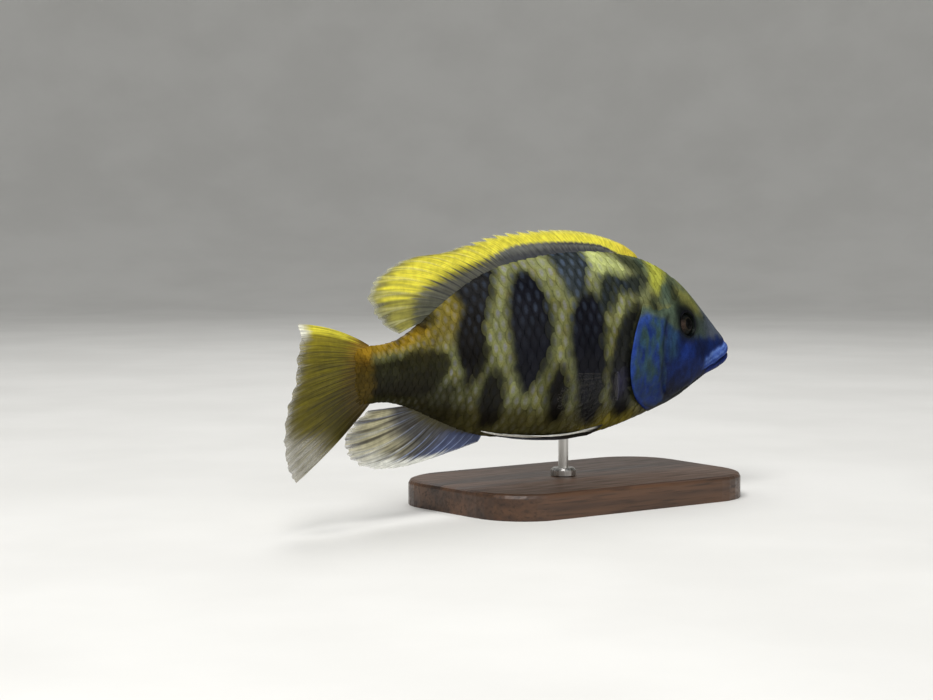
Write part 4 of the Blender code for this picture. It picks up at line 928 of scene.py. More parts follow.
def make_skin():
    """One closed skin from the lips to the tail, with a free edge along each gill cover."""
    station, forward, step, behind = skin_rings()
    station, angle = np.broadcast_arrays(station, around(AROUND))
    behind = np.broadcast_to(behind > 0, station.shape)
    angle = along_mouth(station, angle)
    along = warped(station, angle) - forward * gill_window(angle)
    sink = COAT * scaled_share(surface(along, angle, behind)[0], behind)
    points = surface(along, angle, behind, sink, step)[0]
    points[:, [0, AROUND // 2], 1] = 0.0
    tint = paint_gill_opening(paint(points, behind)[0], points[..., 2], along, angle, behind)
    fleck = paint_flecks(points, behind)
    unwrap = np.stack([station / UNWRAP_LENGTH, angle / (2 * math.pi)], axis=-1)
    number = np.arange(station.size).reshape(station.shape)
    faces = grid_faces(*station.shape, closed=True).tolist()
    for ring, end in ((number[0], station.size), (number[-1], station.size + 1)):
        faces += [(j, k, end) for j, k in zip(ring.tolist(), np.roll(ring, -1).tolist())]
    ends = [(0.0, 0.0, 0.4), ((TAIL_END + 0.002) * LENGTH, 0.0, points[-1, :, 2].mean())]
    points = np.vstack([points.reshape(-1, 3), ends])
    tint = np.vstack([tint.reshape(-1, 3), linear("lip"), linear("fin_rust")])
    fleck = np.vstack([fleck.reshape(-1, 4), np.zeros((2, 4))])
    unwrap = np.vstack([unwrap.reshape(-1, 2), (0.0, 0.5), (0.95, 0.5)])
    add_piece("skin", points, faces, skin_material(), FLESH, {"tint": tint, "fleck": fleck}, unwrap=unwrap)


# ---- scales

GIRTH_STEPS = 120
GIRTH_STATIONS = np.linspace(0.10, 1.06, 124)
GIRTH_ANGLES = np.linspace(0, math.pi, 2 * GIRTH_STEPS + 1)
PLATE_ACROSS, PLATE_LONG = 9, 8
PLATE_PATCH = 0.003
UPPER_LINE_ROW = 5
UPPER_LINE_TO, LOWER_LINE_FROM = 0.80, 0.74
PIECE_SPLIT = 0.52
CHEEK_SCALES_EDGE = ((-0.088, -0.052, 0.0, 0.052, 0.084), (0.232, 0.247, 0.255, 0.250, 0.228))


def girth_tables():
    """Arc from the widest line up to the back, whole arc to the belly, and the angle at even shares of it."""
    stations, angles = np.meshgrid(GIRTH_STATIONS, GIRTH_ANGLES, indexing="ij")
    points = plain(stations, angles)
    steps = np.linalg.norm(np.diff(points[..., 1:], axis=1), axis=-1)
    run = np.concatenate([np.zeros((len(GIRTH_STATIONS), 1)), np.cumsum(steps, axis=1)], axis=1)
    shares = np.linspace(0, 1, GIRTH_STEPS + 1)
    inverse = np.array([np.interp(shares * row[-1], row, GIRTH_ANGLES) for row in run])
    return run[:, GIRTH_STEPS], run[:, -1], inverse


UP_ARC, WHOLE_ARC, ANGLE_AT_SHARE = girth_tables()


def angle_at(along, up, side):
    """The angle round the body of a place up millimetres of arc above the widest line, on one side."""
    share = (np.interp(along, GIRTH_STATIONS, UP_ARC) - up) / np.interp(along, GIRTH_STATIONS, WHOLE_ARC)
    fold = np.where(share < 0, -share, np.where(share > 1, 2 - share, share))
    step = GIRTH_STATIONS[1] - GIRTH_STATIONS[0]
    i = np.clip((along - GIRTH_STATIONS[0]) / step, 0, len(GIRTH_STATIONS) - 1.001)
    j = np.clip(fold * GIRTH_STEPS, 0, GIRTH_STEPS - 0.001)
    i0, j0 = i.astype(int), j.astype(int)
    u, v = i - i0, j - j0
    near, far = ((1 - v) * ANGLE_AT_SHARE[k, j0] + v * ANGLE_AT_SHARE[k, j0 + 1] for k in (i0, i0 + 1))
    angle = near * (1 - u) + far * u
    angle = np.where(share < 0, -angle, np.where(share > 1, 2 * math.pi - angle, angle))
    return np.where(side > 0, angle, 2 * math.pi - angle) % (2 * math.pi)


def scale_places():
    """Root of each scale as columns: share along the body, level above the widest line, side and row."""
    table = np.linspace(0.14, 1.045, 800)
    steps = np.diff(table) * LENGTH / smooth(SPACING_ALONG, (table[1:] + table[:-1]) / 2)
    count = np.concatenate([[0.0], np.cumsum(steps)])
    places = []
    for side in (1, -1):
        for row in range(-SCALE_ROWS, SCALE_ROWS + 1):
            level = row if row >= 0 else row * (1 - 0.010 * abs(row))
            along = np.interp(np.arange(0.5 * (row % 2), count[-1] - 0.4), count, table)
            places.append(np.stack(np.broadcast_arrays(along, level, side, row)))
    along, level, side, row = np.concatenate(places, axis=1)[..., None]
    up = level * smooth(SPACING_UP, along)
    top = np.interp(along, GIRTH_STATIONS, UP_ARC)
    bottom = np.interp(along, GIRTH_STATIONS, WHOLE_ARC) - top
    inside = ((up < top - 0.3) & (up > -bottom + 0.3))[:, 0]
    return along[inside], level[inside], side[inside], row[inside]


def keep_scales(along, level, side):
    """Which scales there are, and which of them grow on the body and not on the cheek or gill cover."""
    angle = angle_at(along, level * smooth(SPACING_UP, along), side)
    y, z = body_section(along, angle)
    height = z / LENGTH
    turned = turned_from_back(angle)
    edge = smooth(GILL_EDGE, turned)
    length = smooth(SPACING_ALONG, along) / LENGTH
    tip = along + 1.5 * length
    behind = along > edge - 0.1 * length
    ragged = 0.008 * np.sin(level * 2.3) + 0.006 * np.sin(level * 5.1 + side)
    on_tail = along + 1.6 * length > ragged + TAIL_END - TAIL_CURVE * np.cos(angle) ** 2
    nape = (height > smooth(NAPE_LOW, along)) & (along > 0.170)
    on_nape = nape & ((tip < edge + 0.02) | (turned < 52))
    cheek_at = np.interp(-height, *CHEEK_SCALES_EDGE)
    cover = (along > cheek_at + 0.010) & (tip < edge - 0.006) & (height < 0.092) & (height > -0.095)
    off_eye = from_axis(EYE_PLACE, np.stack([along * LENGTH, y, z], axis=-1)) > EYE_RADIUS + 2.6
    cheek = (tip < cheek_at - 0.020) & (along > 0.130) & (height < 0.055) & (height > -0.060) & off_eye
    cheek |= (along > 0.205) & (tip < cheek_at + 0.004) & (height > 0.02) & (height < 0.082)
    throat = (turned > 150) & (along > 0.24)
    return (on_nape | cover | cheek | throat | behind) & ~on_tail, behind | throat | nape


def plate_shape():
    """Places on a plate: across from -1 to 1, and down from 0 at its root to its rounded free edge."""
    across = np.sin(np.linspace(-math.pi / 2, math.pi / 2, PLATE_ACROSS + 1))
    across, down = np.meshgrid(across, np.linspace(0, 1, PLATE_LONG + 1), indexing="ij")
    down = down * (0.60 + 0.40 * np.sqrt(1 - across**2))
    return across.ravel(), down.ravel()


def shape_scales(along, level, side, row, behind):
    """The top of each scale, the way out of it, its middle on the skin and its random grey."""
    total = (len(along), 1)
    across, down = plate_shape()
    long = smooth(SPACING_ALONG, along) / LENGTH * (1 + 0.05 * rng.standard_normal(total))
    wide = smooth(SPACING_UP, along) * 0.80 * (1 + 0.04 * rng.standard_normal(total))
    shift = 0.05 * rng.standard_normal((2, *total))
    tilt = 0.03 * rng.standard_normal(total)
    grey = rng.random(total)
    s = along + long * (down * 1.62 - 0.22 + shift[0])
    moved = across * (0.78 + 0.22 * ease(down / 0.5)) + shift[1] + tilt * (down - 0.5)
    angle = angle_at(s, level * smooth(SPACING_UP, s) + wide * moved, side)
    top, normal = surface(s, angle, np.broadcast_to(behind, s.shape), COAT)
    small = np.where(behind, 1.0, 0.55) * (long * LENGTH / 4.2)
    lift = small * (0.04 + SCALE_LIFT * down + 0.10 * (1 - across**2) * down)
    tube = (row == UPPER_LINE_ROW) & (along < UPPER_LINE_TO) & behind | (row == 0) & (along > LOWER_LINE_FROM)
    lift = lift + 0.16 * tube * bell(across / 0.16) * ease((down - 0.25) / 0.2) * (1 - ease((down - 0.80) / 0.1))
    middle = along + 0.6 * long
    turned = angle_at(middle, level * smooth(SPACING_UP, along), side)
    centre = surface(middle, turned, behind, COAT)[0]
    return top + normal * lift[..., None], normal, centre, grey


def paint_scales(top, centre, behind, grey):
    """Colour over each scale, drawn towards its middle's, and the colour and strength of its pale spot."""
    own, own_dark, own_spot = paint(centre, behind)
    each, dark, spot = paint(top, np.broadcast_to(behind, top.shape[:2]))
    dark = 0.6 * dark + 0.4 * own_dark
    spot = (0.5 * spot + 0.5 * own_spot) * (1 - 0.3 * dark) * (0.50 + 0.50 * grey[::-1])
    along, height = top[..., 0] / LENGTH, top[..., 2] / LENGTH
    under_dorsal = marked(BLOTCHES["under_dorsal"][0], along, height, 0.02)
    in_blotch = blend(linear("slate"), linear("blue_spot"), ease((height - 0.02) / 0.12) * (1 + 2.2 * under_dorsal))
    spot_tint = blend(linear("lavender"), in_blotch, ease(dark * 1.4))
    return 0.72 * each + 0.28 * own, np.concatenate([spot_tint, np.clip(spot, 0, 1)[..., None]], axis=-1)


def make_scales():
    """Overlapping scales as thin closed plates, in joined pieces."""
    along, level, side, row = scale_places()
    keep, behind = keep_scales(along, level, side)
    along, level, side, row, behind = (value[keep[:, 0]] for value in (along, level, side, row, behind))
    top, normal, centre, grey = shape_scales(along, level, side, row, behind)
    across, down = plate_shape()
    turned = angle_at(along, level * smooth(SPACING_UP, along), side)
    root = np.stack([along / UNWRAP_LENGTH, turned / (2 * math.pi)], axis=-1)
    layers = (
        *paint_scales(top, centre, behind, grey), np.stack(np.broadcast_arrays(across, down, grey), axis=-1),
        root + np.stack([down - 0.5, across / 2], axis=-1) * PLATE_PATCH,
    )
    rim = grid_rim(PLATE_ACROSS + 1, PLATE_LONG + 1)
    under = top[:, rim] - normal[:, rim] * SCALE_THICKNESS
    below = top.shape[1] + np.arange(len(rim))
    quads = np.concatenate([grid_faces(PLATE_ACROSS + 1, PLATE_LONG + 1), band_faces(rim, below)[:, ::-1]])
    material = scale_material()
    left, front = side[:, 0] > 0, along[:, 0] < PIECE_SPLIT
    for name, chosen in (
        ("scales_front_left", left & front), ("scales_rear_left", left & ~front),
        ("scales_front_right", ~left & front), ("scales_rear_right", ~left & ~front),
    ):
        starts = np.arange(chosen.sum())[:, None, None] * (below[-1] + 1)
        turn = -1 if name.endswith("left") else 1
        faces = (quads[:, ::turn] + starts).reshape(-1, 4).tolist() + (below[::-turn] + starts[:, 0]).tolist()
        tint, spot, plate, patch = (np.concatenate([value[chosen], value[chosen][:, rim]], axis=1) for value in layers)
        add_piece(name, np.concatenate([top[chosen], under[chosen]], axis=1), faces, material, (),
                  {"tint": tint, "spot": spot}, {"plate": plate}, patch.reshape(-1, 2))


# ---- eyes

EYE_RINGS, EYE_AROUND, RIM_AROUND = 72, 96, 16
EYE_COLOURS = {
    "pupil": np.array((0.002, 0.002, 0.002)), "iris_grey": np.array((0.008, 0.009, 0.008)),
    "iris_rose": np.array((0.044, 0.029, 0.022)), "shade": np.array((0.005, 0.006, 0.006)),
    "ring": np.array((0.026, 0.020, 0.010)),
}


def round_eye(side, turn, radius, height):
    """Points round the eye's place on one side, at a radius across its normal and a height along it."""
    place, normal = surface_frame(*EYE_PLACE, side)
    level = np.cross(normal, [0.0, 0.0, 1.0])
    level /= np.linalg.norm(level)
    out = level * np.cos(turn)[..., None] + np.cross(level, normal) * np.sin(turn)[..., None]
    return place + normal * height[..., None] + out * radius[..., None]


def make_eyeball(name, side, material):
    """An eyeball with a bulging pupil and a dished iris."""
    polar = np.linspace(0.02, math.pi - 0.02, EYE_RINGS)
    polar, turn = np.meshgrid(polar, around(EYE_AROUND), indexing="ij")
    radius = EYE_RADIUS * np.sin(polar)
    front = polar < math.pi / 2
    height = EYE_BULGE - EYE_DEPTH + EYE_DEPTH * np.cos(polar)
    height = height + front * 0.22 * (bell((radius / PUPIL_RADIUS) ** 2) - bell((radius - 3.4) / 0.8))
    upward, ahead = np.sin(turn), -np.cos(turn) * side
    dark = np.maximum(ease((PUPIL_RADIUS + 0.12 - radius) / 0.25), ease((radius - 3.9) / 0.8))
    tint = np.broadcast_to(EYE_COLOURS["iris_grey"], (*polar.shape, 3))
    for key, weight in (
        ("iris_rose", ease(-0.3 - 1.4 * ahead) * bell((upward + 0.05) / 0.75)),
        ("shade", ease((upward - 0.1) / 0.7) * 0.65),
        ("ring", ridge(radius, 0.55, PUPIL_RADIUS + 0.25, 0.22)),
        ("pupil", np.where(front, dark, 1.0)),
    ):
        tint = blend(tint, EYE_COLOURS[key], weight)
    streaks = np.stack([np.cos(turn) * 9, np.sin(turn) * 9, radius * 0.8], axis=-1)
    number = np.arange(polar.size).reshape(polar.shape)
    faces = grid_faces(*polar.shape, closed=True).tolist() + [number[0, ::-1].tolist(), number[-1].tolist()]
    faces = [face[::side] for face in faces]
    add_piece("eyeball_" + name, round_eye(side, turn, radius, height), faces, material, ("eye_" + name,),
              {"tint": tint}, {"eye": streaks})


def make_eye_rim(name, side, material):
    """The rim of skin round an eye."""
    turn, tube = np.meshgrid(around(EYE_AROUND), around(RIM_AROUND), indexing="ij")
    thick = 0.42 + 0.10 * np.sin(turn)
    points = round_eye(side, turn, EYE_RADIUS + 0.28 + 1.25 * thick * np.cos(tube), 0.02 + thick * np.sin(tube))
    # painted shade: the rim is darkened with navy, more on its upper side under the brow
    tint = over(paint(points, np.zeros(turn.shape, bool))[0], "navy", 0.55 + 0.25 * np.sin(turn))
    number = np.arange(turn.size).reshape(turn.shape)
    faces = np.vstack([grid_faces(*turn.shape, closed=True), band_faces(number[-1], number[0])])[:, ::-side]
    add_piece("eye_rim_" + name, points, faces.tolist(), material, (), {"tint": tint})


# ---- fins

DORSAL_SPINES, DORSAL_SOFT_RAYS = 16, 11
DORSAL_BASE = (0.262, 0.845)
DORSAL_SPINY_BASE_END = 0.625
DORSAL_MARGIN = (
    (0.276, 0.2310), (0.300, 0.2450), (0.357, 0.2640), (0.440, 0.2790), (0.522, 0.2830), (0.604, 0.2800),
    (0.681, 0.2700), (0.752, 0.2500), (0.813, 0.2350), (0.879, 0.2300), (0.934, 0.2155), (0.978, 0.1925),
    (1.010, 0.1690), (1.012, 0.1450), (0.990, 0.1130), (0.958, 0.0860), (0.926, 0.0735),
)
DORSAL_LAST_SPINE_AT = 0.51
DORSAL_BOWS = (0.06, 0.09, 0.0)
DORSAL_SWAY = -0.012
ANAL_SPINES, ANAL_SOFT_RAYS = 3, 9
ANAL_BASE = (0.690, 0.890)
ANAL_MARGIN = (
    (0.703, -0.1640), (0.764, -0.1770), (0.830, -0.1890), (0.896, -0.1985), (0.967, -0.1985),
    (1.035, -0.1860), (1.078, -0.1620), (1.096, -0.1320), (1.075, -0.1040), (1.024, -0.0740),
)
ANAL_BOWS = (-0.05, -0.10, -0.01)
ANAL_CURL = -0.022
CAUDAL_RAYS = 16
CAUDAL_ROOT_AT = 1.0
CAUDAL_ROOT = (0.0545, -0.0652)
CAUDAL_MARGIN = (
    (1.180, 0.1045), (1.184, 0.0780), (1.212, 0.0400), (1.230, -0.0050), (1.264, -0.0560), (1.270, -0.1050),
    (1.250, -0.1580), (1.192, -0.2060),
)
CAUDAL_EDGE_BOWS = (0.05, 0.0, -0.02)
CAUDAL_FOLD = 0.035
PECTORAL_RAYS = 13
PECTORAL_BASE = ((0.388, -0.024), (0.378, -0.084))
PECTORAL_LENGTHS = ((0.0, 0.19), (0.22, 0.265), (0.45, 0.250), (0.75, 0.190), (1.0, 0.110))
PECTORAL_SPREAD = (math.radians(6.0), math.radians(-26.0))
PECTORAL_LIFT = (math.radians(38.0), math.radians(16.0))
PELVIC_BASE = ((0.392, 0.042), (0.418, 0.016))
PELVIC_TIPS = ((0.600, 0.0330), (0.712, 0.0250), (0.672, 0.0225), (0.634, 0.0200), (0.592, 0.0170), (0.550, 0.0145))
PELVIC_DROP = 1.9
RAY_HALF, WEB_HALF, TIP_HALF = 0.36, 0.12, 0.07
ROOT_DEPTH = 1.0

FIN_COLOURS = {
    "yellow": (250, 238, 74), "lemon": (240, 234, 130), "fringe": (222, 222, 196), "band": (94, 98, 110),
    "band_dark": (34, 36, 46), "orange": (206, 164, 44), "ash": (84, 85, 68), "olive": (108, 99, 22),
    "olive_dark": (44, 38, 12), "rust": (96, 66, 18), "beige": (142, 134, 102), "white": (248, 248, 238),
    "periwinkle": (76, 86, 122), "ray_blue": (150, 164, 200), "smoke": (84, 84, 84), "brown": (52, 46, 36),
    "clear": (104, 102, 88), "plum": (49, 50, 78), "belly_dark": (36, 34, 28),
    "caudal_yellow": (142, 130, 26), "root_dark": (78, 65, 18), "sand": (205, 198, 160), "haze": (196, 196, 188),
}
COLOURS.update({"fin_" + name: value for name, value in FIN_COLOURS.items()})


def ray_shape(root, tip, bow, rows):
    """Points along a ray from root to tip, bowed to one side by a share of its length."""
    share = rows[:, None]
    along = np.array(tip) - np.array(root)
    across = np.array([-along[1], along[0]])
    return np.array(root) + along * share + across * bow * 4 * share * (1 - share)


def fan(roots, tips, bows, rows):
    """Curved rays from roots to tips: (ray, row, point)."""
    return np.array([ray_shape(*ray, rows) for ray in zip(roots, tips, bows)])


def between_rays(rays, place):
    """Smooth columns between the rays, at places counted in rays."""
    slopes = np.gradient(rays, axis=0)
    k = np.clip(np.floor(place).astype(int), 0, len(rays) - 2)
    u = (place - k)[:, None, None]
    value = rays[k] * (1 + 2 * u) * (1 - u) ** 2 + rays[k + 1] * u * u * (3 - 2 * u)
    return value + slopes[k] * u * (1 - u) ** 2 + slopes[k + 1] * u * u * (u - 1)


def web_reach(place, spines, saw, hollow):
    """How much of the rays' length the web reaches: a notch behind each spine's tip, a hollow between soft rays."""
    part = place - np.floor(place)
    notch = (1 - part) * ease(part / 0.22) * ease((place - 6.0) / 5.0)
    curved = (4 * part * (1 - part)) ** 0.8
    ragged = 0.5 + 0.5 * np.sin(place * 11.3 + 2.0 * np.sin(place * 3.1))
    return np.where(place < spines, 1 - saw * notch, 1 - hollow * (0.45 * curved + 0.55 * ragged))


def ray_ridges(place, rows, spines, split_from, width):
    """1 on the rays and their branches, 0 on the web between them."""
    part = (place - np.round(place))[:, None]
    soft = (place >= spines - 0.5)[:, None]
    first = 0.15 * ease((rows - split_from) / (1 - split_from))[None, :] * soft
    second = 0.075 * ease((rows - 0.5 * (1 + split_from)) / (0.5 * (1 - split_from)))[None, :] * soft
    thin = width * (1 - 0.45 * rows)[None, :]
    ridge = 0
    for one in (-1, 1):
        for two in (-1, 1):
            ridge = np.maximum(ridge, bell((part - one * first - two * second) / thin))
    return ridge


def ray_noise(share, row, per_fin, seed):
    """A field from about -1 to 1 that changes fast across the rays and slowly along them."""
    total = 0.0
    for k, weight in enumerate((1.0, 0.7, 0.5)):
        waves = per_fin * (1 + 0.83 * k) * share * 2 * math.pi
        sway = 1.6 * np.sin(row * 3 + k + share * 20)
        total = total + weight * np.sin(waves + seed * (k + 1) + sway)
    return total / 2.2


def fin_layers(base, where, layers):
    """A fin's ground colour with others laid over it in turn."""
    return layered(ground("fin_" + base, where), (("fin_" + name, weight) for name, weight in layers))


def paint_dorsal(share, row, ray):
    """Bright yellow above a grey and navy band, streaked along the rays, with pale tips."""
    soft = ease((share - 0.54) / 0.10)
    streak = ray_noise(share, row, 40, 1.0)
    border = 0.42 - 0.22 * ease((share - 0.46) / 0.24) - 0.34 * ease((0.17 - share) / 0.12) + 0.035 * streak
    border = border + soft * (0.15 * ease((share - 0.79) / 0.12) + 0.06 * streak) + 0.03 * bell((share - 0.48) / 0.14)
    band = ease((border - row) / 0.13 + 0.5) * ease((share - 0.05) / 0.08)
    upper_line = bell((row - border + 0.06) / 0.05) * ease((0.42 - share) / 0.15)
    foot = ease((0.34 + 0.06 * streak - row) / 0.24) * ease((share - 0.10) / 0.08)
    web = soft * ease((border + 0.17 - row) / 0.17) * (1 - band) * ease(0.4 - 0.9 * streak)
    tail = soft * ease((row - 0.72 - 0.06 * streak) / 0.20)
    rear = ease((share - 0.85 - 0.03 * streak) / 0.08)
    tint = fin_layers("yellow", share, (
        ("lemon", 0.45 * ease((row - 0.72) / 0.2) * (1 - soft)),
        ("orange", 0.38 * ease((0.12 - share) / 0.08)),
        ("band", (0.94 - 0.08 * soft) * band),
        ("band_dark", 0.75 * upper_line * band),
        ("band_dark", (0.80 - 0.12 * soft) * foot),
        ("band_dark", 0.60 * soft * ease((0.42 - row) / 0.24) * ease(1.3 * streak)),
        ("olive_dark", 0.84 * web),
        ("ash", 0.50 * tail * (1 - 0.6 * ray)),
        ("ash", 0.72 * rear),
        ("fringe", 0.75 * ease((row - 0.90) / 0.07) * ease((share - 0.20) / 0.15) * (1 - 0.6 * rear)),
        ("fringe", 0.25 * ray * soft * ease((row - 0.3) / 0.3)),
    ))
    solid = 1 - (0.38 * tail + 0.05 * rear) * (1 - ray) - 0.25 * ease((row - 0.90) / 0.1)
    return tint, np.clip(solid, 0.2, 1)


def paint_anal(share, row, ray):
    """Blue at the front with pale rays, a white lower margin and dark streaks behind."""
    streak = ray_noise(share, row, 13, 2.0)
    to_tips = np.maximum(1 - ease((row - 0.55) / 0.2), ease((share - 0.62) / 0.1))
    margin = ease((row - 0.56 + 0.10 * streak) / 0.22) * ease((0.80 - share) / 0.24) * ease((share - 0.14) / 0.14)
    tint = fin_layers("smoke", share, (
        ("periwinkle", 0.9 * ease((0.55 - share + 0.06 * streak) / 0.25)),
        ("sand", 0.90 * ease((share - 0.48) / 0.25) * ease((row - 0.22) / 0.3)),
        ("brown", 0.85 * ease(0.25 + 1.1 * streak) * ease((share - 0.34) / 0.2) * to_tips),
        ("ray_blue", 0.8 * ray * (1 - 0.6 * ease((share - 0.5) / 0.2)) * ease((row - 0.08) / 0.2)),
        ("white", margin),
    ))
    # the belly colour, with its painted shade, at the fin's root
    tint = over(tint, "belly", 0.85 * ease((0.12 + 0.03 * streak - row) / 0.08))
    faint = ease((row - 0.60) / 0.35) * (1 - ray)
    return tint, np.clip(1 - 0.45 * faint * (1 - 0.8 * margin) - 0.10 * margin, 0.2, 1)


def paint_caudal(share, row, ray):
    """Olive with dark streaks, yellow along the upper edge, rusty at the root, pale and clear behind and below."""
    streak = ray_noise(share, row, 22, 3.0)
    top = ease((0.26 - share + 0.02 * streak) / 0.20)
    edge = ease((0.10 - share) / 0.06)
    root = ease((0.40 + 0.09 * streak - row) / 0.30)
    dark = ease(0.1 + 1.1 * streak) * (1 - 0.75 * top) * (1 - ease((row - 0.55) / 0.35))
    pale = ease((row - 0.78 + 0.36 * ease((share - 0.60) / 0.25) + 0.06 * streak) / 0.34)
    tint = fin_layers("olive", share, (
        ("caudal_yellow", 0.85 * top * ease((row - 0.06) / 0.15)),
        ("yellow", 0.75 * ease((0.07 - share) / 0.05) * ease((row - 0.05) / 0.15)),
        ("rust", 0.90 * root),
        ("root_dark", 0.80 * root * ease((share - 0.18) / 0.30)),
        ("orange", 0.45 * root * bell((share - 0.12) / 0.10)),
        ("olive_dark", 0.75 * dark),
        ("olive_dark", 0.65 * bell((row - 0.34) / 0.24) * ease((share - 0.42) / 0.2)),
        ("beige", 0.75 * pale * (1 - 0.6 * edge)),
        ("white", 0.85 * ease((0.13 - share) / 0.10) * ease((row - 0.82 + 0.03 * streak) / 0.16)),
        ("haze", 0.35 * ray * pale),
    ))
    return tint, np.clip(1 - 0.50 * pale * (1 - 0.6 * ray) * (1 - 0.7 * edge), 0.2, 1)


def paint_pectoral(share, row, ray):
    """Clear, with fine rays and a dusky root."""
    base = ease((0.13 - row) / 0.10)
    solid = 0.02 + 0.13 * ray * (1 - 0.6 * row) + 0.85 * base
    return fin_layers("clear", share, (("plum", 0.9 * base),)), np.clip(solid, 0, 1)


def paint_pelvic(share, row, ray):
    """A white leading edge over a dusky web."""
    lead = ease((0.30 - share) / 0.08)
    tint = fin_layers("belly_dark", share, (
        ("white", lead * ease((row - 0.06) / 0.1)),
        ("ray_blue", 0.30 * ray * (1 - lead) * ease((row - 0.3) / 0.3)),
    ))
    return tint, 1 - 0.35 * (1 - lead) * (1 - ray) * ease((row - 0.4) / 0.4)


def dorsal_rays(rows, side):
    """Sixteen spines and the soft rays behind them, in the middle plane."""
    count = DORSAL_SPINES + DORSAL_SOFT_RAYS
    spiny = np.linspace(DORSAL_BASE[0], DORSAL_SPINY_BASE_END, DORSAL_SPINES)
    soft = np.linspace(DORSAL_SPINY_BASE_END, DORSAL_BASE[1], DORSAL_SOFT_RAYS + 1)[1:]
    along = np.concatenate([spiny, soft])
    roots = np.column_stack([along * LENGTH, height_on_body(along, 0.0, True) - ROOT_DEPTH])
    share = np.interp(np.arange(count), [0, DORSAL_SPINES - 1, count - 1], [0, DORSAL_LAST_SPINE_AT, 1])
    bows = np.interp(np.linspace(0, 1, count), [0, 0.8, 1], DORSAL_BOWS)
    return fan(roots, curve_at(DORSAL_MARGIN, share) * LENGTH, bows, rows)


def anal_rays(rows, side):
    """Three spines and the soft rays behind them, in the middle plane."""
    share = np.linspace(0, 1, ANAL_SPINES + ANAL_SOFT_RAYS)
    along = np.linspace(*ANAL_BASE, len(share))
    roots = np.column_stack([along * LENGTH, height_on_body(along, 0.0, False) + ROOT_DEPTH])
    bows = np.interp(share, [0, 0.6, 1], ANAL_BOWS)
    return fan(roots, curve_at(ANAL_MARGIN, share**0.92) * LENGTH, bows, rows)


def caudal_rays(rows, side):
    """A fan of rays from the end of the tail stock, in the middle plane."""
    share = np.linspace(0, 1, CAUDAL_RAYS)
    roots = np.column_stack([np.full(CAUDAL_RAYS, CAUDAL_ROOT_AT), np.interp(share, [0, 1], CAUDAL_ROOT)]) * LENGTH
    bows = np.interp(share, [0, 0.5, 1], CAUDAL_EDGE_BOWS)
    return fan(roots, curve_at(CAUDAL_MARGIN, share) * LENGTH, bows, rows)


def pectoral_rays(rows, side):
    """Rays that leave the flank steeply and then run back along it."""
    base = np.array(PECTORAL_BASE)
    shares = np.linspace(0, 1, PECTORAL_RAYS)
    lengths = smooth(PECTORAL_LENGTHS, shares) * LENGTH
    spreads = np.interp(shares, [0, 1], PECTORAL_SPREAD)
    lift = np.interp(rows, [0, 0.25, 1], [PECTORAL_LIFT[0], 0.55 * PECTORAL_LIFT[0], PECTORAL_LIFT[1]])
    lift = ((lift[1:] + lift[:-1]) / 2)[:, None]
    rays = []
    for share, length, turn in zip(shares, lengths, spreads):
        place, normal = surface_frame(*(base[0] + (base[1] - base[0]) * share), side)
        back = np.array([1.0, 0.0, 0.0]) - normal * normal[0]
        back /= np.linalg.norm(back)
        up = np.cross(back, normal)
        run = back * math.cos(turn) + up * np.sign(up[2]) * math.sin(turn)
        moves = (run * np.cos(lift) + normal * np.sin(lift)) * np.diff(rows)[:, None] * length
        rays.append(place - normal * 0.5 + np.vstack([np.zeros(3), np.cumsum(moves, axis=0)]))
    return np.array(rays)


def pelvic_rays(rows, side):
    """Rays in plan, as (back from the snout, to the side), folded under the belly."""
    base = np.array(PELVIC_BASE)
    shares = np.linspace(0, 1, len(PELVIC_TIPS))[:, None]
    roots = base[0] + (base[1] - base[0]) * shares
    return fan(roots * LENGTH, np.array(PELVIC_TIPS) * LENGTH, np.zeros(len(roots)), rows)


def on_axis(middle, axis):
    """A fin's middle surface, with one way out of it all over."""
    outs = np.zeros_like(middle)
    outs[..., axis] = 1.0
    return middle, outs


def swayed(sway):
    """A fin in the middle plane that sways to one side towards its rear tips."""
    def sheet(flat, rows, side):
        reach = rows[None, :] * np.linspace(0.2, 1, len(flat))[:, None]
        return on_axis(np.stack([flat[..., 0], sway * LENGTH * reach**2, flat[..., 1]], axis=-1), 1)
    return sheet


def cupped(flat, rows, side):
    """The caudal fin, its edges to one side of its middle, with a light ripple."""
    spread_out = np.linspace(-1, 1, len(flat))[:, None]
    fold = CAUDAL_FOLD * LENGTH * (spread_out**2 - 0.35)
    ripple = 0.35 * np.sin(np.arange(len(flat)) * 0.19)[:, None]
    return on_axis(np.stack([flat[..., 0], (fold + ripple) * rows**2, flat[..., 1]], axis=-1), 1)


def in_space(middle, rows, side):
    """A fin whose rays are already laid out in space."""
    outs = np.cross(np.gradient(middle, axis=1), np.gradient(middle, axis=0))
    return middle, outs * np.sign(outs[..., 1].sum()) / np.linalg.norm(outs, axis=-1, keepdims=True)


def under_belly(flat, rows, side):
    """A pelvic fin, close under the belly and dropping a little towards its tips."""
    below = height_on_body(flat[..., 0] / LENGTH, flat[..., 1], False)
    spread_out = np.linspace(1, 0.45, len(flat))[:, None]
    drop = 0.75 * (rows / 0.05).clip(0, 1) - 0.35 + PELVIC_DROP * ease(rows / 0.7) * spread_out
    return on_axis(np.stack([flat[..., 0], side * flat[..., 1], below - drop], axis=-1), 2)


class Fin(NamedTuple):
    """A kind of fin. Thicknesses are in millimetres, other measures in rays or in shares of their length."""
    rays: Callable
    sheet: Callable
    paint: Callable
    slot: str
    look: tuple
    rows: int
    columns_per_gap: int
    branching_from: float
    ray_width: float
    hollow: float
    spines: float = -1
    notch: float = 0.0
    foot_half: float = 1.0
    foot_share: float = 0.16
    thickness: float = 1.0
    paired: bool = False


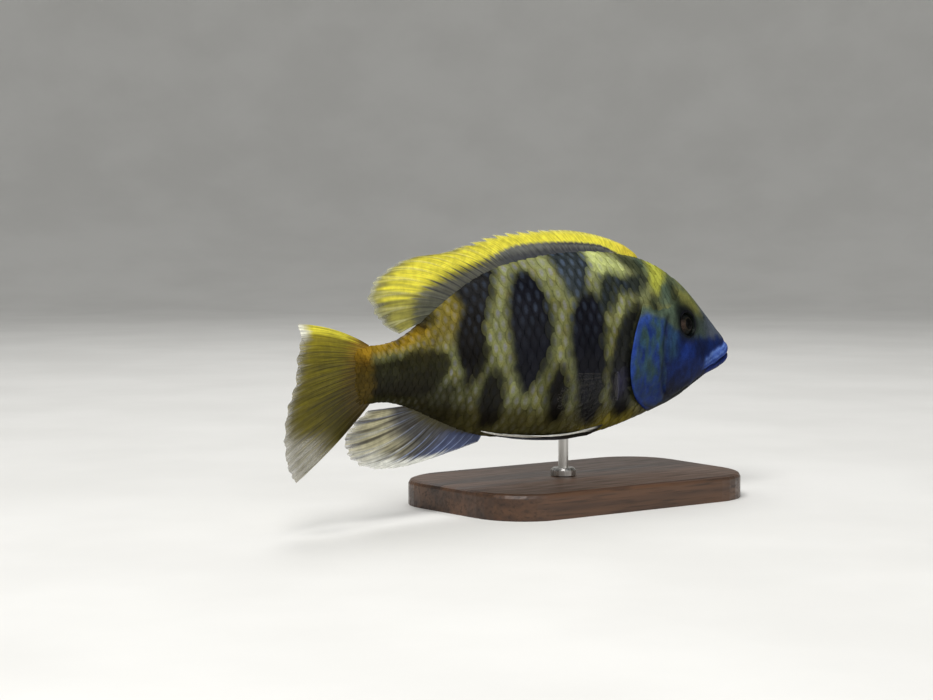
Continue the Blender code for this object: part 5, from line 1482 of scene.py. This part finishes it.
FINS = {
    "dorsal": Fin(dorsal_rays, swayed(DORSAL_SWAY), paint_dorsal, "yellow_fin", ("dorsal_paint", 150.0, 0.45, 0.22),
                  44, 18, 0.40, 0.10, 0.05, spines=DORSAL_SPINES - 0.5, notch=0.22),
    "anal": Fin(anal_rays, swayed(ANAL_CURL), paint_anal, "pale_fin", ("anal_paint", 90.0, 0.7),
                50, 24, 0.30, 0.075, 0.06, spines=ANAL_SPINES - 0.5),
    "caudal": Fin(caudal_rays, cupped, paint_caudal, "yellow_fin", ("caudal_paint", 120.0, 0.5, 0.36),
                  64, 24, 0.30, 0.075, 0.012, foot_share=0.36),
    "pectoral": Fin(pectoral_rays, in_space, paint_pectoral, "clear_fin", ("clear_paint", 80.0, 0.5),
                    44, 14, 0.35, 0.10, 0.03, foot_half=0.9, thickness=0.8, paired=True),
    "pelvic": Fin(pelvic_rays, under_belly, paint_pelvic, "pale_fin", ("pelvic_paint", 40.0, 0.3),
                  50, 14, 0.35, 0.11, 0.04, spines=0.5, notch=0.03, foot_half=0.7, paired=True),
}


def make_fin(fin, name, node, side, material):
    """A fin with two faces, raised rays and a thin web, closed all round."""
    rows = np.linspace(0, 1, fin.rows)
    rays = fin.rays(rows, side)
    gaps = len(rays) - 1
    place = np.linspace(0, gaps, gaps * fin.columns_per_gap + 1)
    columns = between_rays(rays, place)
    middle = np.empty_like(columns)
    for i, limit in enumerate(web_reach(place, fin.spines, fin.notch, fin.hollow)):
        at = rows * (1 - (1 - limit) * rows**3)
        for d in range(columns.shape[2]):
            middle[i, :, d] = np.interp(at, rows, columns[i, :, d])
    middle, outs = fin.sheet(middle, rows, side)
    ridges = ray_ridges(place, rows, fin.spines, fin.branching_from, fin.ray_width)
    halves = WEB_HALF + (RAY_HALF - WEB_HALF) * ridges * (1 - 0.55 * rows)
    foot = (fin.foot_half - WEB_HALF) * np.sqrt(1 - 0.96 * (2 * place / gaps - 1) ** 2)
    halves = halves * (1 - rows**8) + TIP_HALF * rows**8 + foot[:, None] * (1 - ease(rows / fin.foot_share))
    off = outs * halves[..., None] * fin.thickness
    share, row = np.broadcast_arrays((place / gaps)[:, None], rows)
    tint, solid = fin.paint(share, row, ridges)
    tint = np.concatenate([tint, solid[..., None]], axis=-1)
    detail = np.stack([share, row, ridges], axis=-1)
    faces = grid_faces(*ridges.shape)
    rim = grid_rim(*ridges.shape)
    faces = np.vstack([faces[:, ::-1], faces + ridges.size, band_faces(rim, rim + ridges.size)])
    add_piece(name, np.stack([middle + off, middle - off]), faces.tolist(), material, (node,),
              {"tint": np.stack([tint, tint])}, {"fin": np.stack([detail, detail])})


# ---- stand, floor, light and camera

FLOOR_RADIUS, FLAT_RADIUS, WALL_CURVE, WALL_TOP = 1.5, 0.5, 0.9, 1.6
CAMERA_AZIMUTH, CAMERA_ELEVATION = -35.0, 4.0
CAMERA_DISTANCE = 0.8
CAMERA_AIM = (-0.0276, 0.0197, 0.0041)
FOCAL_PIXELS, IMAGE_WIDTH, SENSOR_WIDTH = 2031.5, 933, 36.0
SKY_COLOUR, SKY_STRENGTH = (0.80, 0.82, 0.84, 1), 0.34
LIGHTS = (
    # name, azimuth, elevation, distance, size, power
    ("key", -55.0, 58.0, 1.2, 0.7, 13.0),
    ("fill", 10.0, 20.0, 1.3, 1.0, 2.5),
    ("back", 150.0, 55.0, 1.2, 0.7, 5.0),
)


def dress_stand():
    """Wood on the stand's base and steel on its rod."""
    for node, material in (("stand_base", wood_material()), ("stand_rod", steel_material())):
        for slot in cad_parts[node].material_slots:
            slot.material = material


def make_floor():
    """A round floor that curves up into a wall far behind, the same from every side."""
    rise = np.linspace(0, math.pi / 2, 24)
    radii = np.concatenate([[0.01, FLAT_RADIUS], FLOOR_RADIUS + WALL_CURVE * np.sin(rise), [FLOOR_RADIUS + WALL_CURVE]])
    heights = np.concatenate([[0, 0], WALL_CURVE * (1 - np.cos(rise)), [WALL_TOP]])
    turns = around(96)
    points = [(r * math.cos(t), r * math.sin(t), h) for r, h in zip(radii, heights) for t in turns]
    faces = grid_faces(len(radii), len(turns), closed=True).tolist() + [tuple(range(len(turns)))]
    mesh = bpy.data.meshes.new("floor")
    mesh.from_pydata(points, [], faces)
    floor = bpy.data.objects.new("floor", mesh)
    bpy.context.scene.collection.objects.link(floor)
    mesh.shade_smooth()
    mesh.materials.append(floor_material())


def place_at(name, data, aim, azimuth, elevation, distance):
    """A lamp or camera at a distance from its aim and looking at it. Angles are in degrees."""
    azimuth, elevation = math.radians(azimuth), math.radians(elevation)
    level = math.cos(elevation)
    back = Vector((math.sin(azimuth) * level, -math.cos(azimuth) * level, math.sin(elevation)))
    right = Vector((0, 0, 1)).cross(back).normalized()
    turn = Matrix((right, back.cross(right), back)).transposed().to_4x4()
    obj = bpy.data.objects.new(name, data)
    obj.matrix_world = Matrix.Translation(aim + back * distance) @ turn
    bpy.context.scene.collection.objects.link(obj)
    return obj


def light_and_camera():
    """Soft lamps, a pale sky and the camera at the photo's angle."""
    low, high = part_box("stand_rod")
    ahead = (0.5 - ROD_STATION) * LENGTH / 1000
    origin = Vector(((low[0] + high[0]) / 2 - ahead, (low[1] + high[1]) / 2, AXIS_HEIGHT / 1000))
    scene = bpy.context.scene
    for name, azimuth, elevation, distance, size, power in LIGHTS:
        data = bpy.data.lights.new(name, "AREA")
        data.shape, data.size, data.energy = "DISK", size, power
        place_at(name, data, origin, azimuth, elevation, distance)
    scene.world = bpy.data.worlds.new("studio")
    scene.world.use_nodes = True
    sky = scene.world.node_tree.nodes["Background"]
    sky.inputs[0].default_value = SKY_COLOUR
    sky.inputs[1].default_value = SKY_STRENGTH
    data = bpy.data.cameras.new("camera")
    data.sensor_width, data.lens = SENSOR_WIDTH, FOCAL_PIXELS * SENSOR_WIDTH / IMAGE_WIDTH
    aim = origin + Vector(CAMERA_AIM)
    scene.camera = place_at("camera", data, aim, CAMERA_AZIMUTH, CAMERA_ELEVATION, CAMERA_DISTANCE)
    scene.view_settings.view_transform = "Standard"


def main():
    """Every piece of the dressed model, then what stands round it."""
    make_skin()
    make_scales()
    eye, lid = eye_material(), skin_material()
    for name, side in (("left", 1), ("right", -1)):
        make_eyeball(name, side, eye)
        make_eye_rim(name, side, lid)
    looks = {kind: fin_material(*fin.look) for kind, fin in FINS.items()}
    for end, side in (("", 0), ("_left", 1), ("_right", -1)):
        for kind, fin in FINS.items():
            if fin.paired == (side != 0):
                make_fin(fin, kind + end, kind + "_fin" + end, side, looks[kind])
    dress_stand()
    make_floor()
    light_and_camera()


main()
